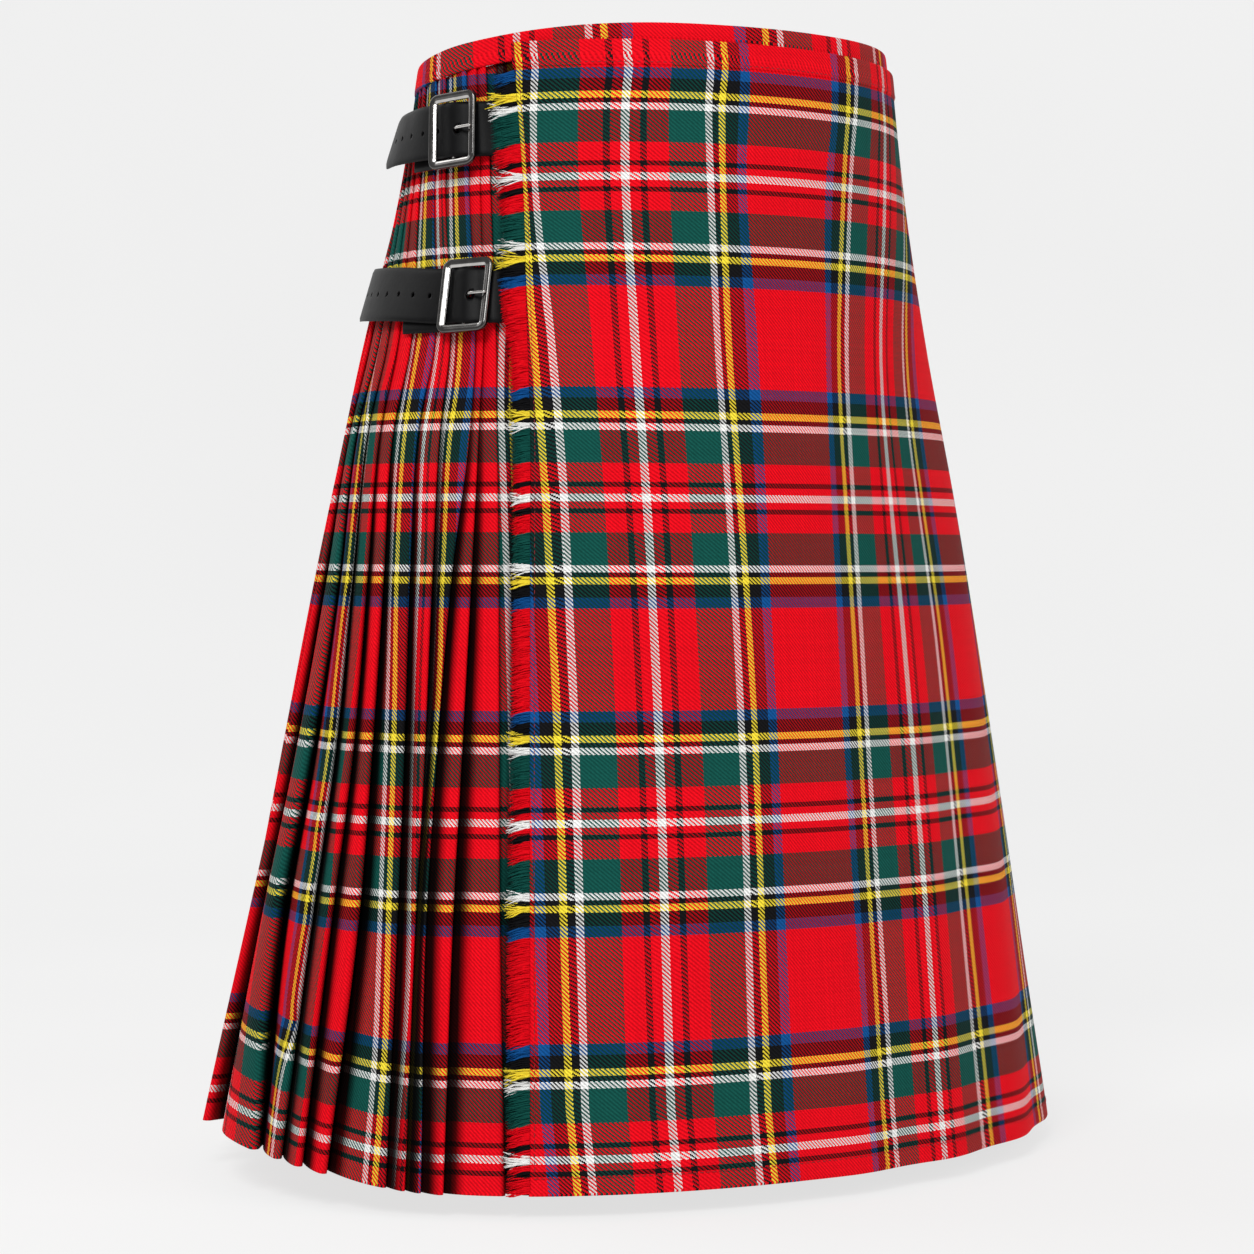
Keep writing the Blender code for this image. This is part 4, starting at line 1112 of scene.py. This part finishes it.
def build_strap(fastening):
    name, centre, _, lean, _, _, _, tail_end, holes = fastening
    radius = STRAP_WIDTH / 2
    path = strap_path(centre, lean, tail_end)
    arcs = np.concatenate([
        np.linspace(path[0][0], tail_end - radius, 150),
        tail_end - radius * (1 - np.sin(np.linspace(0.12, 0.985, 14) * pi / 2)),
    ])[:, None]
    inside = np.clip(radius - (tail_end - arcs), 0, None) / radius
    half = radius * (1 - inside ** STRAP_END) ** (1 / STRAP_END)
    middle, flare = strap_height(fastening, arcs), strap_flare(fastening, arcs)
    rings = leather_rings(arcs, middle, half, eased(arcs, path, 1), STRAP_LEATHER, 17, 0.12, flare)
    strap = swept("strap_leather_" + name, rings, None, LEATHER)
    work = bmesh.new()
    places = [(centre + PRONG_HOLE, PRONG_HOLE_RADIUS)]
    places += [(centre + FIRST_HOLE + STRAP_HOLE_PITCH * k, STRAP_HOLE_RADIUS) for k in range(holes)]
    for arc, hole_radius in places:
        hole_z = float(strap_height(fastening, arc))
        out = (cloth_point(arc, hole_z, 0.01) - cloth_point(arc, hole_z, 0.0)).normalized()
        lift = float(eased(arc, path, 1) + strap_flare(fastening, arc) / 2)
        place = cloth_point(arc, hole_z, lift + STRAP_LEATHER / 2)
        facing = out.to_track_quat("Z", "Y").to_matrix().to_4x4()
        bmesh.ops.create_cone(
            work, cap_ends=True, segments=20, radius1=hole_radius, radius2=hole_radius,
            depth=5 * STRAP_LEATHER, matrix=Matrix.Translation(place) @ facing,
        )
    cutter_mesh = bpy.data.meshes.new("cutter")
    work.to_mesh(cutter_mesh)
    work.free()
    cutter = bpy.data.objects.new("cutter", cutter_mesh)
    bpy.context.scene.collection.objects.link(cutter)
    punch = strap.modifiers.new("punch", "BOOLEAN")
    punch.operation = "DIFFERENCE"
    punch.object = cutter
    bpy.context.view_layer.update()
    done = bpy.data.meshes.new_from_object(strap.evaluated_get(bpy.context.evaluated_depsgraph_get()))
    strap.modifiers.clear()
    strap.data = done
    bpy.data.objects.remove(cutter)
    done.shade_smooth()
    return strap


def build_tab(name, centre, height, lean):
    path = course_from(centre, lean, TAB_COURSE)
    arcs = np.linspace(path[0][0], path[-1][0], 60)[:, None]
    lift = eased(arcs, path, 1)
    rings = leather_rings(arcs, height - TAB_DROP, TAB_WIDTH / 2, lift, TAB_LEATHER, 11, 0.15)
    return swept("tab_leather_" + name, rings, None, LEATHER)


def rounded_rectangle(width, height, radius, steps):
    points = []
    for quarter, (right, up) in enumerate(((1, 1), (-1, 1), (-1, -1), (1, -1))):
        for k in range(steps + 1):
            turn = (quarter + k / steps) * pi / 2
            x = right * (width / 2 - radius) + radius * cos(turn)
            points.append((x, up * (height / 2 - radius) + radius * sin(turn)))
    return np.array(points)


def buckle_seat(centre, height, lean, turn):
    along = (cloth_point(centre - GAP, height, 0.0) - cloth_point(centre + GAP, height, 0.0)).normalized()
    rising = cloth_point(centre, height + BUCKLE_BAR, 0.0) - cloth_point(centre, height - BUCKLE_BAR, 0.0)
    out = along.cross(rising).normalized()
    up = out.cross(along)
    facing = Matrix((along, up, out)).transposed().to_4x4()
    place = Matrix.Translation(cloth_point(centre, height, BUCKLE_LIFT + buckle_rise(lean)))
    return place @ facing @ Matrix.Rotation(radians(turn), 4, "Z") @ Matrix.Rotation(radians(lean), 4, "Y")


# The frame's section: share across the bar from outside to inside, share of its thickness.
FRAME_PROFILE = (
    (0.98, -0.55), (1.0, 0.0), (0.94, 0.50), (0.78, 0.82), (0.50, 0.98), (0.18, 1.0), (-0.10, 0.94),
    (-0.52, 0.66), (-0.90, 0.30), (-1.0, 0.0), (-0.97, -0.60), (-0.80, -0.92), (0.0, -1.0), (0.80, -0.92),
)
# The bar is wider on its inner side, where these faces of the section are the polished bevel, in bright
# nickel as a painted highlight.
FRAME_INNER = 1.7
FRAME_BEVEL = (7, 8)
ROD_SIDES = 16
# The prong thins over its last three points.
PRONG_TAPER = (0.9, 0.72, 0.35)
PRONG_POINT = 0.0008


def build_buckle(name, seat):
    """Cast frame: a rounded bar swept round a rounded rectangle, with a flat polished bevel inside. Its
    nickel is painted dark as dark reflections, and brighter on the bevel as a painted highlight.
    """
    size = (BUCKLE_WIDTH - BUCKLE_BAR, BUCKLE_HEIGHT - BUCKLE_BAR)
    middles = rounded_rectangle(*size, BUCKLE_CORNER - BUCKLE_BAR / 2, 8)
    count, around = len(middles), len(FRAME_PROFILE)
    rings = np.empty((count, around, 3))
    for k, middle in enumerate(middles):
        tangent = middles[(k + 1) % count] - middles[k - 1]
        outward = np.array([tangent[1], -tangent[0]]) / np.linalg.norm(tangent)
        for p, (across, up) in enumerate(FRAME_PROFILE):
            reach = (across if across > 0 else FRAME_INNER * across) * BUCKLE_BAR / 2
            rings[k, p] = (*(middle + outward * reach), up * BUCKLE_THICK / 2)
    faces = []
    for k in range(count):
        near, far = k * around, (k + 1) % count * around
        faces += [(near + p, far + p, far + (p + 1) % around, near + (p + 1) % around) for p in range(around)]
    mesh = new_mesh("buckle_frame_" + name, rings, faces)
    turn_outward(mesh)
    mesh.transform(seat)
    made = new_object("buckle_frame_" + name, mesh, NICKEL_PAINTED_DARK, NICKEL)
    # The bevel's faces take the bright nickel: a painted highlight.
    for face in mesh.polygons:
        face.material_index = int(face.index % around in FRAME_BEVEL)
    smooth = made.modifiers.new("smooth", "SUBSURF")
    smooth.levels = smooth.render_levels = 2
    return made


def tube(name, line, radii, material, seat):
    """A round rod along points, placed by its seat."""
    line = [Vector(p) for p in line]
    turns = [2 * pi * s / ROD_SIDES for s in range(ROD_SIDES)]
    rings = []
    for k, (spot, radius) in enumerate(zip(line, radii)):
        tangent = (line[min(k + 1, len(line) - 1)] - line[max(k - 1, 0)]).normalized()
        first = tangent.cross(Vector((0, 0, 1)) if abs(tangent.z) < 0.9 else Vector((1, 0, 0))).normalized()
        second = tangent.cross(first)
        ring = [spot + first * (radius * cos(at)) + second * (radius * sin(at)) for at in turns]
        rings.append([tuple(seat @ p) for p in ring])
    return swept(name, np.array(rings), None, material)


def build_bar(name, seat):
    reach = BUCKLE_HEIGHT / 2 - BUCKLE_BAR - GAP
    line = [(0, y, -CENTRE_BAR_DROP) for y in np.linspace(-reach, reach, 9)]
    return tube("buckle_bar_" + name, line, [CENTRE_BAR_RADIUS] * len(line), NICKEL, seat)


def build_prong(name, seat):
    rest = BUCKLE_THICK / 2 + GAP + PRONG_RADIUS
    tip = BUCKLE_WIDTH / 2 - PRONG_TIP
    ends = (PRONG_SHOULDER, BUCKLE_WIDTH / 2 - BUCKLE_BAR, tip - PRONG_POINT, tip)
    spots = np.array(PRONG_HEEL + tuple((x, rest) for x in ends))
    stations = np.linspace(0, len(spots) - 1, 3 * len(spots) - 2)
    x, z = (np.interp(stations, np.arange(len(spots)), spots[:, c]) for c in (0, 1))
    shares = (1.0,) * (len(stations) - len(PRONG_TAPER)) + PRONG_TAPER
    radii = [PRONG_RADIUS * share for share in shares]
    return tube("buckle_prong_" + name, list(zip(x, np.zeros_like(x), z)), radii, NICKEL, seat)


# ---- dress the frame
over_apron = build_over_apron()
under_apron = build_under_apron()
pleats = build_pleats()
apron_band, inner_band = build_bands()
stitches = build_apron_stitches()
fringe = build_fringe()

for piece, node in (
    (over_apron, "over_apron"), (under_apron, "under_apron"), (pleats, "pleated_back"),
    (apron_band, "apron_band"), (inner_band, "inner_band"),
):
    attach(piece, "root")
    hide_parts(node)
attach(stitches, "root")
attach(fringe, "root")
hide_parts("fringe")

for fastening in FASTENINGS:
    name, centre, height, lean, turn = fastening[:5]
    seat = buckle_seat(centre, height, lean, turn)
    for piece, node, slot in (
        (build_strap(fastening), "strap_" + name, "black_leather"),
        (build_tab(name, centre, height, lean), "tab_" + name, "black_leather"),
        (build_buckle(name, seat), "buckle_" + name, "buckle_metal"),
        (build_bar(name, seat), "bar_" + name, "buckle_metal"),
        (build_prong(name, seat), "prong_" + name, "buckle_metal"),
    ):
        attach(piece, "root")
        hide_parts(node)

# ---- stage, lights and camera
FLOOR_DROP = 0.012
FLOOR_TURN = 0.7465
FLOOR_HALF = 6.0
# Where the floor begins and where it starts to bend up into the wall, and the radius of that bend.
FLOOR_FRONT, FLOOR_BACK, FLOOR_BEND = -3.0, 1.6, 1.4
WALL_HEIGHT = 4.0
# name, place, width and height, power
LIGHTS = (
    ("key", (-2.1, -1.3, 1.7), 1.2, 56),
    ("fill", (0.9, -2.6, 0.9), 2.2, 20),
    ("rim", (-1.2, 1.8, 1.5), 1.4, 12),
)
LIT = Vector((0.0, 0.0, -0.25))
# The camera's angles, place and lens are as a scratch program's least squares fit to the photo printed them.
AZIMUTH, PITCH, ROLL = 0.73946, 0.02322, 0.00297
CAMERA_PLACE = (-1.34081, -1.45012, -0.23045)
LENS = 99.456


def build_stage():
    """Pale floor that turns up into a wall behind the kilt."""
    floor_z = HEM_Z - FLOOR_DROP
    profile = [(FLOOR_FRONT, floor_z), (FLOOR_BACK, floor_z)]
    for turn in np.linspace(0.1, pi / 2, 12):
        profile.append((FLOOR_BACK + FLOOR_BEND * sin(turn), floor_z + FLOOR_BEND * (1 - cos(turn))))
    profile.append((FLOOR_BACK + FLOOR_BEND, floor_z + WALL_HEIGHT))
    facing = Matrix.Rotation(-FLOOR_TURN, 4, "Z")
    points = [facing @ Vector((x, y, z)) for y, z in profile for x in (-FLOOR_HALF, FLOOR_HALF)]
    faces = [(2 * k, 2 * k + 1, 2 * k + 3, 2 * k + 2) for k in range(len(profile) - 1)]
    mesh = new_mesh("floor", points, faces)
    n = Nodes("studio_paper")
    cloud = n.noise(1.5, 2.0, 0.5)
    n.give(
        Base_Color=n.clouded(cloud, (0.20, 0.20, 0.20), (0.21, 0.21, 0.21)),
        Emission_Color=n.clouded(cloud, (0.711, 0.711, 0.710), (0.720, 0.720, 0.719)),
        Emission_Strength=1.0, Roughness=0.9, Specular_IOR_Level=0.0,
    )
    return new_object("floor", mesh, n.material)


def area_light(name, place, size, power):
    lamp = bpy.data.lights.new(name, "AREA")
    lamp.shape = "RECTANGLE"
    lamp.size = lamp.size_y = size
    lamp.energy = power
    made = bpy.data.objects.new(name, lamp)
    bpy.context.scene.collection.objects.link(made)
    made.location = place
    made.rotation_euler = (LIT - Vector(place)).to_track_quat("-Z", "Y").to_euler()


scene = bpy.context.scene
build_stage()
for light in LIGHTS:
    area_light(*light)
world = bpy.data.worlds.new("studio")
world.use_nodes = True
world.node_tree.nodes["Background"].inputs[0].default_value = (1.0, 1.0, 1.0, 1.0)
world.node_tree.nodes["Background"].inputs[1].default_value = 0.35
scene.world = world
scene.view_settings.view_transform = "Standard"

camera_data = bpy.data.cameras.new("camera")
camera_data.sensor_width = 36.0
camera_data.lens = LENS
camera = bpy.data.objects.new("camera", camera_data)
scene.collection.objects.link(camera)
aim = Matrix.Rotation(-AZIMUTH, 4, "Z") @ Matrix.Rotation(pi / 2 - PITCH, 4, "X")
camera.matrix_world = Matrix.Translation(CAMERA_PLACE) @ aim @ Matrix.Rotation(ROLL, 4, "Z")
scene.camera = camera
